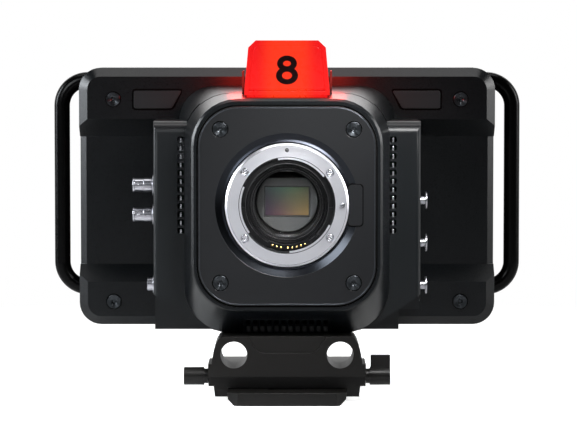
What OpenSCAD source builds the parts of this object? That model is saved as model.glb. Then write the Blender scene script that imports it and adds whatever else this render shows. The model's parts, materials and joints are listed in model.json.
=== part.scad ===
// Studio camera: a wide monitor housing with side bar handles, a square nose with a bayonet
// lens mount, a tally light on top, and a rod bracket on a dovetail plate below.
// All sizes are in millimetres. The origin is the mouth of the tripod socket in the plate.
// Depths are counted backwards from the lens flange, heights upwards from the lens axis.

/* [Frame] */
// Height of the lens axis over the face that rests on a tripod
axis_height = 112.5; // [111:0.5:118]
// Tripod socket behind the lens flange
flange_to_socket = 50; // [46:1:54]
// Flat underside of the camera below the lens axis
camera_bottom = 74.6; // [74:0.2:75.4]
// Width of the centre module
module_w = 152.8; // [150:0.4:156]
// Top of the centre module over the lens axis
module_top = 46.2; // [45:0.2:47]
// Depth of the centre module's front face
module_front = 32; // [31.5:0.5:33]
// Wall of the cast casings
wall = 2.5; // [2:0.1:2.8]

/* [Nose] */
// Width of the front rim's lip beside the plate
rim_side = 2.9; // [2.5:0.1:3.5]
// Height of the front rim's lip over and under the plate
rim_over = 3.3; // [2.8:0.1:3.6]
// Corner radius of the front rim
rim_r = 26.4; // [24:0.2:28]
// How far the rim's centre lies below the lens axis
rim_drop = 0.6; // [0:0.1:1]
// Depth of the rim's front edge
rim_front = 3.2; // [2.8:0.1:3.6]
// Rounding of the rim's front edge
rim_edge = 1.4; // [0.8:0.1:1.8]
// Growth of each side from the rim to the module
nose_flare = 4.7; // [3.5:0.1:5.5]
// Growth of the top from the rim to the module
top_flare = 2.8; // [2:0.1:3.5]
// Depth where the chin reaches the flat underside
chin_back = 28; // [26:0.5:29]
// Growth of each side from the module to the housing
hood_flare = 4.9; // [3.5:0.1:6]
// Growth of the top from the module to the housing
hood_rise = 3.4; // [2.6:0.1:4]
// Corner radius of the hood where it meets the housing
hood_r = 21; // [18:0.5:23]
// Thickness of the wall behind the front plate
front_wall = 3; // [2.5:0.1:3.2]

/* [Front plate] */
// Width of the front plate beside the lens release button
plate_side = 7.55; // [7:0.05:8]
// Height of the front plate over and under the dish
plate_over = 15.3; // [14.5:0.1:16]
// Corner radius of the front plate
plate_r = 22.5; // [20:0.5:24]
// Thickness of the front plate
plate_t = 4.2; // [3.8:0.1:4.4]
// Groove between the plate and the rim
plate_groove = 1.1; // [0.6:0.1:1.4]
// Radius of the dish round the lens mount, at the plate's face
dish_r = 40.5; // [39.5:0.1:41]
// Radius of the dish at its floor
dish_floor_r = 36.2; // [35.8:0.1:37]
// Plate screws in from the plate's sides
plate_screw_side = 12.4; // [11.8:0.1:13.2]
// Plate screws in from the plate's top and bottom
plate_screw_over = 12.7; // [12:0.1:13.3]
// Head radius of the spun screws
screw_head_r = 4.6; // [4:0.1:4.8]
// Head thickness of the spun screws
screw_head_t = 2.8; // [2.4:0.1:3]
// Shank radius of the spun screws
screw_shank_r = 2; // [1.8:0.1:2.2]
// Shank length of the spun screws
screw_shank_l = 3.6; // [3:0.1:4]

/* [Lens mount] */
// Outer radius of the mount ring
ring_r = 34.75; // [34.5:0.05:35]
// Bevel at the ring's outer edge
ring_bevel = 1.2; // [0.8:0.1:1.4]
// Inner radius of the mount ring
throat_r = 27; // [26.8:0.05:27.2]
// Inner radius of the three bayonet tabs
tab_r = 25.75; // [25.6:0.05:26]
// Depth of the tabs' front face
tab_front = 0.5; // [0.4:0.1:0.7]
// Thickness of the tabs
tab_t = 1.7; // [1.5:0.1:1.9]
// Pitch radius of the ring screws
ring_screw_pitch_r = 30.1; // [29.8:0.1:30.4]
// Head radius of the ring screws
ring_screw_r = 2.4; // [2.2:0.1:2.6]
// Length of the ring screws
ring_screw_l = 7; // [6.6:0.2:8]
// Radius of the lens lock pin
lock_pin_r = 1.4; // [1.3:0.05:1.5]
// How far behind the flange the lock pin draws back
lock_pin_clear = 0.7; // [0.5:0.1:0.8]
// Width of the lens release button
release_w = 8; // [7.4:0.2:8.4]
// Height of the lens release button
release_h = 22.8; // [21:0.2:24]
// Travel of the lens release button and of the lock pin
release_travel = 2; // [1.6:0.1:2.2]
// Radius of the light tunnel at its rear end
tunnel_r = 18.6; // [18:0.1:19]
// Depth of the light tunnel's rear end
tunnel_back = 18.5; // [17:0.5:19]

/* [Sensor and filters] */
// Width of the sensor's image area
sensor_w = 24.9; // [24:0.1:25.4]
// Height of the sensor's image area
sensor_h = 16.1; // [15.4:0.1:16.4]
// Depth of the sensor's surface behind the lens flange
sensor_depth = 44; // [43.8:0.1:44.3]
// Length and height of a filter carriage
carriage_size = 32.4; // [31.6:0.2:32.8]
// Thickness of a filter carriage
carriage_t = 4; // [3.6:0.1:4.4]
// Sideways travel of a filter carriage
carriage_travel = 36; // [35.4:0.2:36.4]
// Radius of a filter glass
filter_r = 14; // [13.4:0.1:14.4]
// Thickness of a filter glass
filter_t = 2.2; // [1.8:0.1:2.4]
// Radius of the carriages' guide rods
guide_r = 1.5; // [1.3:0.1:1.7]
// Radial clearance of a running fit
running_gap = 0.08; // [0.05:0.01:0.09]

/* [Module] */
// Height below the axis where the module's straight sides end
module_side_end = 52.8; // [50:0.4:55]
// Rounding of the module's front top edge
module_top_round = 7; // [5:0.5:8]
// Rounding of the module's front side edges
module_side_round = 3; // [2:0.5:3.5]
// Half width of the module's flat underside
module_flat_half_w = 30; // [28:0.5:32]
// Pitch of the side vents
vent_pitch = 4.73; // [4.5:0.01:4.9]
// Number of vents on each side
vent_count = 12; // [8:1:12]
// Pitch of the intake ribs
rib_pitch = 4; // [3.8:0.05:4.1]
// Number of intake ribs
rib_count = 13; // [9:2:13]

/* [Rear housing] */
// Width of the monitor housing
housing_w = 245; // [242:1:250]
// Top of the housing over the lens axis
housing_top = 76.3; // [75.5:0.1:77.5]
// Underside of the housing below the lens axis
housing_bottom = 75.2; // [74.8:0.1:76]
// Corner radius of the housing
housing_r = 13; // [11:0.5:15]
// Depth of the housing's front bands
housing_front = 82; // [81:0.5:83]
// Depth of the housing's rear face
housing_back = 118; // [117:0.5:121]
// Chamfer round the housing's front
housing_chamfer = 5.2; // [4:0.2:6]
// Depth of the finger scoop's floor
scoop_floor = 95; // [94:0.5:96]
// Thickness of the rear cover
cover_t = 4; // [3.6:0.2:4.4]

/* [Handles] */
// Radius of the handle tube
handle_r = 4.65; // [4.4:0.05:4.9]
// Tube centre line left and right of the lens axis
handle_x = 133.8; // [132.5:0.1:136]
// Bend radius of the tube's centre line
handle_bend_r = 15.4; // [13:0.2:16]
// Height of the upper leg
handle_top = 69; // [68:0.2:69.4]
// Height of the lower leg below the lens axis
handle_bottom = 54.5; // [53:0.5:56]
// Handles' centre line in front of the rear cover
handle_inset = 8.5; // [7:0.5:10]

/* [Display and controls] */
// Width of the screen glass
glass_w = 168; // [160:1:172]
// Height of the screen glass
glass_h = 106; // [100:1:110]
// Sideways place of the screen's centre
screen_x = 22; // [20:0.5:24]
// Sideways place of the knobs and buttons
controls_x = -91; // [-93:0.5:-89]
// Radius of a rear knob
knob_r = 8; // [7:0.1:8.6]
// Height of a rear knob
knob_h = 9; // [7:0.5:12]
// Radius of a rear button
button_r = 5; // [4:0.1:5.4]
// Travel of a rear button
button_travel = 0.8; // [0.6:0.1:1]

/* [Tally light] */
// Width of the tally light at its foot
tally_w = 48; // [46:0.5:50]
// Width of the tally light at its shoulders
tally_shoulder_w = 43.6; // [42:0.2:45]
// Width of the tally light's top
tally_top_w = 35.2; // [34:0.2:37]
// How far the tally light stands over the nose
tally_rise = 29.8; // [28.6:0.2:31.6]
// Depth of the tally light's front
tally_front = 10; // [9:0.5:11]
// Length of the tally light along the lens axis
tally_l = 22; // [20:0.5:24]
// Wall of the tally light
tally_wall = 2; // [1.6:0.1:2.4]
// Height of the camera number
digit_h = 16.2; // [14:0.2:17]
// Width of the camera number
digit_w = 12.4; // [11:0.2:13]
// Stroke of the camera number
digit_stroke = 3.4; // [2.8:0.1:3.6]

/* [Connectors] */
// Radius of a coaxial connector's barrel
sdi_r = 4.1; // [3.9:0.1:4.8]
// How far a coaxial connector stands out
sdi_out = 12.5; // [11:0.5:14]
// Radius of an audio socket
xlr_r = 10.8; // [10:0.1:11]
// Spacing of the audio sockets
xlr_pitch = 24.4; // [24:0.1:25]
// Travel of an audio socket's release tab
xlr_travel = 1.5; // [1:0.1:1.8]

/* [Rod bracket] */
// Spacing of the two support rods
rod_spacing = 60; // [60:0.5:61]
// Rods below the lens axis
rod_drop = 85; // [84.5:0.1:85.5]
// Radius of the rod bores
rod_bore_r = 7.55; // [7.52:0.01:7.6]
// Depth of the bracket's front face behind the lens flange
bracket_front = 8; // [7:0.5:9]
// Length of the rod bores
rod_bore_l = 32; // [28:0.5:33]
// Length of the saddle behind the rod bores
saddle_l = 40; // [34:1:41]
// Thickness of the dovetail plate
plate_base_t = 7.5; // [6.5:0.1:8]
// Width of the dovetail plate's underside
plate_base_w = 59.6; // [58:0.2:61]
// Width of the dovetail plate's top
plate_top_w = 66.6; // [65:0.2:67.4]
// Front end of the dovetail plate past the bracket when the plate is slid fully back
plate_end = 1; // [0:0.5:3]
// Travel of the dovetail plate each way when it is unlocked
plate_travel = 12; // [6:1:14]
// Radius of the small tripod socket
socket_small_r = 3.175; // [3.1:0.025:3.25]
// Radius of the large tripod socket
socket_large_r = 4.76; // [4.7:0.02:4.8]
// Large tripod socket behind the small one
socket_step = 20; // [16:1:24]

/* [Hidden] */
// One length past a surface for every cut, and one small gap between separate pieces
overrun = 1;
part_gap = 0.3;
$fn = 64;

// Colours of the finishes
body_black = "#25282b";
plate_black = "#2c2f31";
bracket_black = "#2a2a28";
deep_black = "#0d0d0e";
silver = "#d6d6de";
steel = "#b9bcc2";
brass = "#d6a850";
board_green = "#1d4a33";
tally_red = "#ff3a24";

// Front plate and rim, worked out from the lens mount outwards
plate_w = 2 * (ring_r + release_w * 15 / 16 + plate_side);
plate_h = 2 * (dish_r + plate_over);
rim_w = plate_w + 2 * (plate_groove + rim_side);
rim_h = plate_h + 2 * (plate_groove + rim_over);
plate_screw_x = plate_w / 2 - plate_screw_side;
plate_screw_h = plate_h / 2 - plate_screw_over;
nose_h = rim_h / 2 - rim_drop + top_flare;
hood_half_w = rim_w / 2 + nose_flare + hood_flare;
hood_top = nose_h + hood_rise;

// Front plate and mount depths
plate_back = rim_front - rim_edge + plate_t;
plate_front = plate_back - plate_t;
wall_back = plate_back + front_wall;
flange_t = plate_back;
lock_pin_out = release_travel - lock_pin_clear;

// Sensor stack
frame_front = 36.2;
package_lip = 2;
package_t = 3;
frame_back = sensor_depth - package_lip;
package_back = sensor_depth + package_t;
board_t = 1.6;
frame_half_h = 26;
post_x = 48.5;
post_h = 19.5;
post_r = 2.8;
window_r = 17.5;
window_top = 13.8;
sensor_glass_r = 18.4;
sensor_glass_t = 1.2;
carriage_a_front = 20;
carriage_b_front = 27;
carriage_aperture_r = filter_r - 1.2;
ear_w = 12;
ear_reach = 3;
sink_base_t = 3.4;
sink_size = 60;
fin_count = 11;
fin_t = 1.6;
sink_back = 66;
fan_t = 11;
fan_r = 27;
fan_hub_r = 11;
fan_pin_r = 2;
fan_blades = 7;
fan_blade_t = 1.4;
fan_blade_w = 6;
fan_tilt = 35;
board_front = housing_front - board_t;
board_side = 10.4;
board_half_w = module_w / 2 - board_side;
board_low = -30;
board_high = 30;
standoff_r = 3;
chip_size = 22;
chip_t = 2.4;

// Centre module
opening_half_w = 54;
opening_top = 40;
opening_bottom = 70;
arc_r = 46;
vent_w = 4;
vent_slot_h = 3.5;
vent_corner = 1.3;
vent_x = 60.6;
vent_first = 35.8;
fin_tip_w = 1.1;
fin_tip_h = 2.6;
rib_t = 1.5;
grille_half_w = 25.3;
grille_bar = 1.2;
foot_block_w = 64.6;
foot_block_top = 50;
foot_block_front = 52;
side_block_low = 63;

// Rear housing
cover_front = housing_back - cover_t;
handle_depth = cover_front - handle_inset;
scoop_high = 46.2;
scoop_high_floor = 35.7;
scoop_low = 49.6;
scoop_low_floor = 40;
scoop_edge = 3.7;
band_cavity_half_w = 113;
band_cavity_top = 68.6;
band_cavity_low = 67.8;
band_web = 3;
boss_inner = 104;
boss_outer = 117;
boss_half = 7;
socket_gap = 0.9;
leg_end = 110;
cable_half_w = 30;
cable_half_h = 20;
housing_screw_x = 102;
housing_screw_high = 57.8;
housing_screw_low = 61.3;
mic_top = 62.8;
mic_low = 52.5;
mic_outer = 89.9;
mic_inner_top = 61.8;
mic_inner_low = 67.8;
mic_groove = 1.2;
mic_gap = 0.4;
mic_step = 1.2;
mic_corner = 1.4;
mic_x = 78;
mic_r = 4.6;
mic_l = 9;
mic_front = 0.4;

// Display and controls
window_ledge = 6;
glass_r = 4;
glass_t = 2.7;
glass_gap = 0.25;
lcd_t = 4.6;
lcd_margin = 3;
knob_shaft_r = 3;
knob_stand = 0.4;
knob_flange_t = 1.2;
knob_step = 31;
knob_top = 52;
button_step = 15;
button_top = -28;
button_rest = 0.6;
button_out = button_travel + button_rest;
button_flange = 1.2;

// Tally light
tally_top = nose_h + tally_rise;
tally_sink = 1;
tally_foot_h = nose_h - tally_sink;
tally_side_rise = 1.2;
tally_side_h = nose_h + tally_side_rise;
tally_shoulder_drop = 4;
tally_shoulder_h = tally_top - tally_shoulder_drop;
tally_gap = 0.3;
tally_clip_w = 1.2;
tally_clip_l = 4;
tally_clip_depth = 26;
tally_clip_rise = 12.6;
tally_clip_top = nose_h + tally_clip_rise;
tally_floor_rise = 5;
tally_floor_h = nose_h + tally_floor_rise;
led_board_t = 1.6;
led_r = 1.8;
led_h = 1.4;
digit_drop = 16.6;
digit_centre_h = tally_top - digit_drop;
digit_t = 0.5;

// Side connectors
sdi_depth = 50;
sdi_high = 9;
sdi_low = 8;
sdi_bore_r = 3.1;
sdi_nut_r = 6.1;
sdi_nut_t = 1.1;
sdi_lug_r = 0.8;
sdi_tail = 9;
sdi_pin_r = 0.6;
sdi_floor = 3;
dc_h = 48.2;
dc_r = 3.7;
dc_out = 4.2;
dc_flange_r = 5.1;
dc_flange_t = 1;
dc_bore_r = 2.4;
jack_w = 16;
jack_h = 14;
jack_l = 18;
jack_wall = 1.5;
jack_centre_h = 29;
jack_depth = 52;
xlr_room = 5.6;
xlr_depth = board_front - xlr_room - xlr_r;
xlr_first = 0.3;
xlr_l = 16;
xlr_lip = 1;
xlr_well_r = 8.2;
xlr_well_l = 12;
xlr_pin_r = 1.2;
xlr_pin_pitch_r = 4.4;
tab_stem_r = 2.4;
tab_stem_in = 5;
tab_rest = 1.7;
tab_stem_out = xlr_travel + tab_rest;
tab_disc_r = 5;
tab_disc_t = 1;
tab_room = 1.2;
tab_depth = xlr_depth - xlr_r - tab_room - tab_disc_r;

// Rod bracket; points are half widths and heights below the lens axis
bracket_foot = 109.6;
bracket_foot_x = 40.9;
bracket_sides = [[-36.2, camera_bottom], [-38.4, 75.6], [-40, 78.2], [-41.4, 82.6],
    [-42.4, 88], [-42.9, 92.4], [-bracket_foot_x, bracket_foot]];
boss_low = 103.6;
boss_high = 90.2;
boss_half_w = 44.6;
undercut_low = 97.4;
undercut = 8;
pocket_top_w = 23;
pocket_low_w = 16;
pocket_low = 84;
pocket_t = 1.2;
pocket_corner = 3.5;
saddle_half_w = 21.5;
saddle_step = 93.5;
dovetail_gap = 0.3;
clamp_drop = 98.6;
clamp_depth = 24;
stud_r = 2.5;
stud_in = 34.5;
collar_r = 4.2;
collar_t = 2.2;
lever_r = 5.1;
lever_l = 11.6;
lever_reach = 12;
lever_t = 4.4;
lever_groove = 0.5;
plate_base_l = 2 * (flange_to_socket - bracket_front + plate_travel + plate_end);
plate_corner = 6;
slot_half_l = 9;
slot_r = 2.2;
slot_place = 36;

// Depth and height to the part's own frame
function y_at(depth) = depth - flange_to_socket;
function z_at(height) = axis_height + height;
function mix(a, b, t) = a + (b - a) * t;
function limited(t) = min(max(t, 0), 1);

// Draws a front view outline and extrudes it between two depths
module slab(front, back) {
    translate([0, y_at(back), axis_height])
        rotate([90, 0, 0])
        linear_extrude(back - front)
        children();
}

// Draws a side view outline, depth against height, and extrudes it sideways
module cross_slab(from, to) {
    translate([from, y_at(0), axis_height])
        rotate([90, 0, 90])
        linear_extrude(to - from)
        children();
}

// A round piece along the lens axis
module barrel(x, h, front, back, r, r_back = undef) {
    translate([x, y_at(front), z_at(h)])
        rotate([-90, 0, 0])
        cylinder(h = back - front, r1 = r, r2 = is_undef(r_back) ? r : r_back);
}

// A round piece across the camera
module crossbar(from, to, depth, h, r) {
    translate([from, y_at(depth), z_at(h)])
        rotate([0, 90, 0])
        cylinder(h = to - from, r = r);
}

// A block between two corners, in width, depth and height
module block(x0, x1, d0, d1, h0, h1) {
    translate([x0, y_at(d0), z_at(h0)])
        cube([x1 - x0, d1 - d0, h1 - h0]);
}

// A profile of radii and depths turned about the lens axis
module turned(points, angle = 360) {
    translate([0, y_at(0), axis_height])
        rotate([-90, 0, 0])
        rotate_extrude(angle = angle)
        polygon(points);
}

// An arc of a turned profile, from one angle to another as seen from the front
module turned_arc(points, from, to) {
    translate([0, y_at(0), axis_height])
        rotate([-90, -to, 0])
        rotate_extrude(angle = to - from)
        polygon(points);
}

// A rounded rectangle with true round corners
module round_rect(w, h, r) {
    square([w - 2 * r, h], center = true);
    square([w, h - 2 * r], center = true);
    for (x = [-1, 1], y = [-1, 1])
        translate([x * (w / 2 - r), y * (h / 2 - r)]) circle(r);
}

// The points of a corner p between a and b, rounded from cut before it to cut after it
function soft_corner(a, p, b, cut) =
    let (from = p + cut * (a - p) / norm(a - p), to = p + cut * (b - p) / norm(b - p))
    [for (t = [0:0.25:1]) (1 - t) * (1 - t) * from + 2 * t * (1 - t) * p + t * t * to];

module both_sides() {
    children();
    mirror([1, 0, 0]) children();
}

// One ring of points round a rounded rectangle; a section is depth, half width, top, bottom, radius
corner_steps = 8;
function corner(x, h, r, start, depth) =
    [for (i = [0:corner_steps]) let (a = start + i * 90 / corner_steps)
        [x + r * cos(a), y_at(depth), z_at(h + r * sin(a))]];
function section_ring(s) = concat(
    corner(s[1] - s[4], s[2] - s[4], s[4], 0, s[0]),
    corner(-s[1] + s[4], s[2] - s[4], s[4], 90, s[0]),
    corner(-s[1] + s[4], s[3] + s[4], s[4], 180, s[0]),
    corner(s[1] - s[4], s[3] + s[4], s[4], 270, s[0]));

// A closed body through a list of sections, from the front one to the rear one
module loft(sections) {
    n = 4 * (corner_steps + 1);
    last = len(sections) - 1;
    points = [for (s = sections) each section_ring(s)];
    sides = [for (i = [0:last - 1], j = [0:n - 1])
        let (a = i * n + j, b = i * n + (j + 1) % n)
        each [[a, b, b + n], [a, b + n, a + n]]];
    front = [for (j = [n - 1:-1:0]) j];
    back = [for (j = [0:n - 1]) last * n + j];
    polyhedron(points, concat([front], sides, [back]));
}

// Shape of the nose at a depth
rim_side_depth = rim_front + rim_edge;
function nose_t(d) = limited((d - rim_side_depth) / (module_front - rim_side_depth));
function chin_t(d) = limited((d - rim_side_depth) / (chin_back - rim_side_depth));
function nose_half_w(d) = rim_w / 2 + nose_flare * nose_t(d);
function nose_top(d) = rim_h / 2 - rim_drop + top_flare * nose_t(d);
function nose_bottom(d) = -mix(rim_h / 2 + rim_drop, camera_bottom, chin_t(d));
function nose_section(d, inset) =
    [d, nose_half_w(d) - inset, nose_top(d) - inset, nose_bottom(d) + inset, rim_r - inset];
function hood_section(d, half_w, top, r, inset) =
    [d, half_w - inset, top - inset, -module_top, r - inset];

module nose_outer(grow = 0) {
    loft([
        [rim_front - grow, rim_w / 2 - rim_edge + grow, rim_h / 2 - rim_drop - rim_edge + grow,
            -rim_h / 2 - rim_drop + rim_edge - grow, rim_r - rim_edge + grow],
        nose_section(rim_side_depth, -grow),
        nose_section(chin_back, -grow),
        nose_section(module_front, -grow)
    ]);
}

module hood(inset) {
    loft([
        hood_section(module_front - wall / 2, nose_half_w(module_front), nose_top(module_front),
            rim_r, inset),
        hood_section(housing_front, hood_half_w, hood_top, hood_r, inset)
    ]);
}

module release_outline(grow) {
    difference() {
        translate([ring_r + release_w / 2 - release_w / 16, 0])
            round_rect(release_w + 2 * grow, release_h + 2 * grow, release_w / 4 + grow);
        circle(ring_r + part_gap - grow);
    }
}

module spun_screw(x, h, front) {
    difference() {
        union() {
            barrel(x, h, front, front + screw_head_t, screw_head_r);
            barrel(x, h, front, front + screw_head_t + screw_shank_l, screw_shank_r);
        }
        barrel(x, h, front - overrun / 4, front + screw_head_t / 4,
            screw_shank_r * 1.9, screw_shank_r * 0.7);
        barrel(x, h, front - overrun, front + screw_head_t / 2, screw_shank_r * 0.7);
    }
}

module spun_screw_hole(x, h, front) {
    barrel(x, h, front - overrun, front + screw_head_t, screw_head_r + part_gap / 2);
    barrel(x, h, front, front + screw_head_t + screw_shank_l + overrun,
        screw_shank_r + part_gap / 2);
}

module plate_screw_places() {
    for (x = [-1, 1], h = [-1, 1])
        translate([x * plate_screw_x, 0, h * plate_screw_h - rim_drop]) children();
}

module nose_shell() {
    color(body_black)
    difference() {
        union() {
            difference() {
                nose_outer();
                loft([nose_section(wall_back, wall), nose_section(chin_back, wall),
                    nose_section(module_front + overrun, wall)]);
            }
            difference() {
                hood(0);
                hood(wall);
                block(-module_w, module_w, 0, housing_front + overrun, -module_w, module_top);
                block(-hood_half_w + wall, hood_half_w - wall, module_front - wall,
                    module_front + wall, 0, module_top + wall * 4);
            }
        }
        translate([0, 0, -rim_drop])
            slab(rim_front - overrun, plate_back)
            round_rect(plate_w + 2 * plate_groove, plate_h + 2 * plate_groove,
                plate_r + plate_groove);
        barrel(0, 0, rim_front, wall_back + overrun, throat_r + part_gap);
        slab(rim_front, wall_back + overrun) release_outline(part_gap);
        barrel(ring_screw_pitch_r + ring_bevel * 0.75, 0, rim_front, wall_back + overrun,
            lock_pin_r + running_gap);
        plate_screw_places() spun_screw_hole(0, 0, plate_front);
        for (a = ring_screw_angles)
            barrel(ring_screw_pitch_r * cos(a), ring_screw_pitch_r * sin(a), rim_front,
                wall_back + overrun, ring_screw_r / 2 + part_gap / 2);
        cross_slab(-grille_half_w, grille_half_w)
            polygon([[wall_back + wall, -rim_h / 2 + wall], [chin_back - part_gap, -camera_bottom + wall * 2],
                [chin_back - part_gap, -camera_bottom - wall], [wall_back + wall, -camera_bottom - wall]]);
    }
}

module front_plate() {
    color(plate_black)
    difference() {
        translate([0, 0, -rim_drop])
            slab(plate_front, plate_back) round_rect(plate_w, plate_h, plate_r);
        barrel(0, 0, plate_front - overrun, plate_back + overrun, dish_floor_r);
        barrel(0, 0, plate_front, plate_back, dish_r, dish_floor_r);
        slab(plate_front - overrun, plate_back + overrun) release_outline(part_gap);
        plate_screw_places() spun_screw_hole(0, 0, plate_front);
    }
}

module front_plate_screws() {
    color(plate_black)
    plate_screw_places() spun_screw(0, 0, plate_front);
}

// Angles of the ring's screws and tabs, as seen from the front, counted from the right upwards
ring_screw_angles = [37, 142, 218, 323];
tab_angles = [[38, 101], [157, 216], [273, 335]];
lock_pin_x = ring_screw_pitch_r + ring_bevel * 0.75;

module lens_mount_ring() {
    color(silver)
    difference() {
        union() {
            turned([[throat_r, 0], [ring_r - ring_bevel, 0], [ring_r, ring_bevel],
                [ring_r, flange_t], [throat_r, flange_t]]);
            for (a = tab_angles)
                turned_arc([[tab_r, tab_front], [throat_r + overrun, tab_front],
                    [throat_r + overrun, tab_front + tab_t], [tab_r, tab_front + tab_t]],
                    a[0], a[1]);
        }
        barrel(lock_pin_x, 0, -overrun, flange_t + overrun, lock_pin_r + running_gap);
        for (a = ring_screw_angles) {
            barrel(ring_screw_pitch_r * cos(a), ring_screw_pitch_r * sin(a), -overrun,
                ring_screw_r, ring_screw_r + running_gap);
            barrel(ring_screw_pitch_r * cos(a), ring_screw_pitch_r * sin(a), 0,
                flange_t + overrun, ring_screw_r / 2 + running_gap);
        }
    }
}

module mount_ring_screws() {
    color(silver)
    for (a = ring_screw_angles)
        translate([ring_screw_pitch_r * cos(a), 0, ring_screw_pitch_r * sin(a)])
        difference() {
            union() {
                barrel(0, 0, tab_front / 2, ring_screw_r, ring_screw_r);
                barrel(0, 0, tab_front / 2, ring_screw_l, ring_screw_r / 2);
            }
            block(-ring_screw_r * 0.6, ring_screw_r * 0.6, -overrun, ring_screw_r / 2,
                -ring_screw_r / 8, ring_screw_r / 8);
            block(-ring_screw_r / 8, ring_screw_r / 8, -overrun, ring_screw_r / 2,
                -ring_screw_r * 0.6, ring_screw_r * 0.6);
        }
}

// Steps of the light tunnel: radius shares of the throat and depth shares of the tunnel
throat_front = tab_front + tab_t + 1;
lip_r = throat_r - 0.1;
contact_r = throat_r * 0.84;
step_r = throat_r * 0.79;
neck_r = throat_r * 0.74;
throat_flange_r = lock_pin_x - lock_pin_r - part_gap;
throat_flange_t = 1.4;

module mount_throat() {
    color(deep_black)
    difference() {
        turned([[contact_r, throat_front], [lip_r, throat_front], [lip_r, wall_back],
            [throat_flange_r, wall_back], [throat_flange_r, wall_back + throat_flange_t],
            [step_r + wall, wall_back + throat_flange_t], [neck_r + wall / 2, tunnel_back],
            [tunnel_r, tunnel_back], [tunnel_r, tunnel_back - wall / 2],
            [neck_r, tunnel_back - wall / 2], [neck_r, mix(wall_back, tunnel_back, 0.3)],
            [step_r, mix(wall_back, tunnel_back, 0.3)], [step_r, mix(throat_front, wall_back, 0.7)],
            [contact_r, mix(throat_front, wall_back, 0.7)]]);
        for (a = [0, 90, 180])
            translate([0, y_at(throat_front), axis_height])
                rotate([0, -a, 0])
                translate([(contact_r + lip_r) / 2, 0, 0])
                cube([wall, wall / 2, wall], center = true);
    }
}

contact_from = 246;
contact_to = 300;
contact_block_t = 0.9;

module contact_block() {
    color(deep_black)
    turned_arc([[contact_r - wall / 4, throat_front - contact_block_t],
        [contact_r + wall, throat_front - contact_block_t],
        [contact_r + wall, throat_front], [contact_r - wall / 4, throat_front]],
        contact_from - 3, contact_to + 3);
}

contact_angles = [250, 256, 262, 271, 277, 283, 289, 295];

module contact_pins() {
    color(brass)
    for (a = contact_angles)
        barrel((contact_r + wall / 2) * cos(a), (contact_r + wall / 2) * sin(a),
            throat_front - contact_block_t - tab_front, throat_front - contact_block_t, wall / 4);
}

module lens_lock_pin() {
    color(silver)
    barrel(lock_pin_x, 0, -lock_pin_out, wall_back - part_gap, lock_pin_r);
}

module lens_release_button() {
    color(body_black)
    slab(plate_front - tab_front, wall_back - part_gap) release_outline(0);
}

module carriage(x, front) {
    half = carriage_size / 2;
    back = front + carriage_t;
    middle = front + carriage_t / 2;
    difference() {
        union() {
            block(x - half, x + half, front, back, -half, half);
            block(x - ear_w / 2, x + ear_w / 2, front, back, -post_h - ear_reach,
                post_h + ear_reach);
        }
        barrel(x, 0, front - overrun, back + overrun, carriage_aperture_r);
        barrel(x, 0, front - overrun, front + filter_t, filter_r + running_gap);
        for (h = [-1, 1])
            crossbar(x - ear_w, x + ear_w, middle, h * post_h, guide_r + running_gap);
    }
}

module nd_carriage_a() {
    color(deep_black) carriage(carriage_travel, carriage_a_front);
}

module nd_filter_a() {
    color("#4a4e52", 0.6)
    barrel(carriage_travel, 0, carriage_a_front, carriage_a_front + filter_t, filter_r);
}

module nd_carriage_b() {
    color(deep_black) carriage(-carriage_travel, carriage_b_front);
}

module nd_filter_b() {
    color("#2b2e31", 0.6)
    barrel(-carriage_travel, 0, carriage_b_front, carriage_b_front + filter_t, filter_r);
}

rod_end = post_x - post_r / 8;

module nd_guide_rods() {
    color(steel)
    for (front = [carriage_a_front, carriage_b_front], h = [-1, 1])
        crossbar(-rod_end, rod_end, front + carriage_t / 2, h * post_h, guide_r);
}

motor_size = 11;
motor_l = 9;
motor_x = 26;
motor_h = 31;

module nd_motors() {
    color(steel)
    for (s = [-1, 1]) {
        block(s * motor_x - motor_size / 2, s * motor_x + motor_size / 2, wall_back,
            wall_back + motor_l, s * motor_h - motor_size / 2, s * motor_h + motor_size / 2);
        barrel(s * motor_x, s * motor_h, wall_back + motor_l / 2, wall_back + motor_l * 1.6,
            motor_size / 6);
    }
}

module window_outline(r) {
    difference() {
        circle(r);
        translate([-r, window_top]) square([2 * r, r]);
    }
}

module sensor_filter() {
    color("#9aa0a4", 0.5)
    barrel(0, 0, frame_front, frame_front + sensor_glass_t, sensor_glass_r);
}

module sensor_chip() {
    color("#8a8f95")
    slab(sensor_depth, sensor_depth + board_t / 2)
        square([sensor_w, sensor_h], center = true);
}

module sensor_package() {
    color("#6b6f73")
    difference() {
        slab(frame_back, package_back)
            square([sensor_w + wall * 4, sensor_h + wall * 4], center = true);
        slab(frame_back - overrun, sensor_depth + board_t / 2)
            square([sensor_w + wall / 2, sensor_h + wall / 2], center = true);
    }
}

module sensor_board() {
    color(board_green)
    slab(package_back, package_back + board_t)
        round_rect(sink_size, sink_size * 0.8, wall);
}

module sensor_frame() {
    color(deep_black)
    difference() {
        union() {
            slab(frame_front, frame_back)
                round_rect(2 * (post_x + post_r), 2 * frame_half_h, post_r);
            for (x = [-1, 1], h = [-1, 1])
                barrel(x * post_x, h * post_h, wall_back, frame_front + overrun, post_r);
        }
        slab(frame_front - overrun, frame_back + overrun) window_outline(window_r);
        barrel(0, 0, frame_front - overrun, frame_front + sensor_glass_t,
            sensor_glass_r + running_gap);
        for (front = [carriage_a_front, carriage_b_front], h = [-1, 1])
            crossbar(-post_x, post_x, front + carriage_t / 2, h * post_h,
                guide_r + running_gap);
    }
}

sink_front = package_back + board_t;
fin_pitch = (sink_size - fin_t) / (fin_count - 1);

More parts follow.
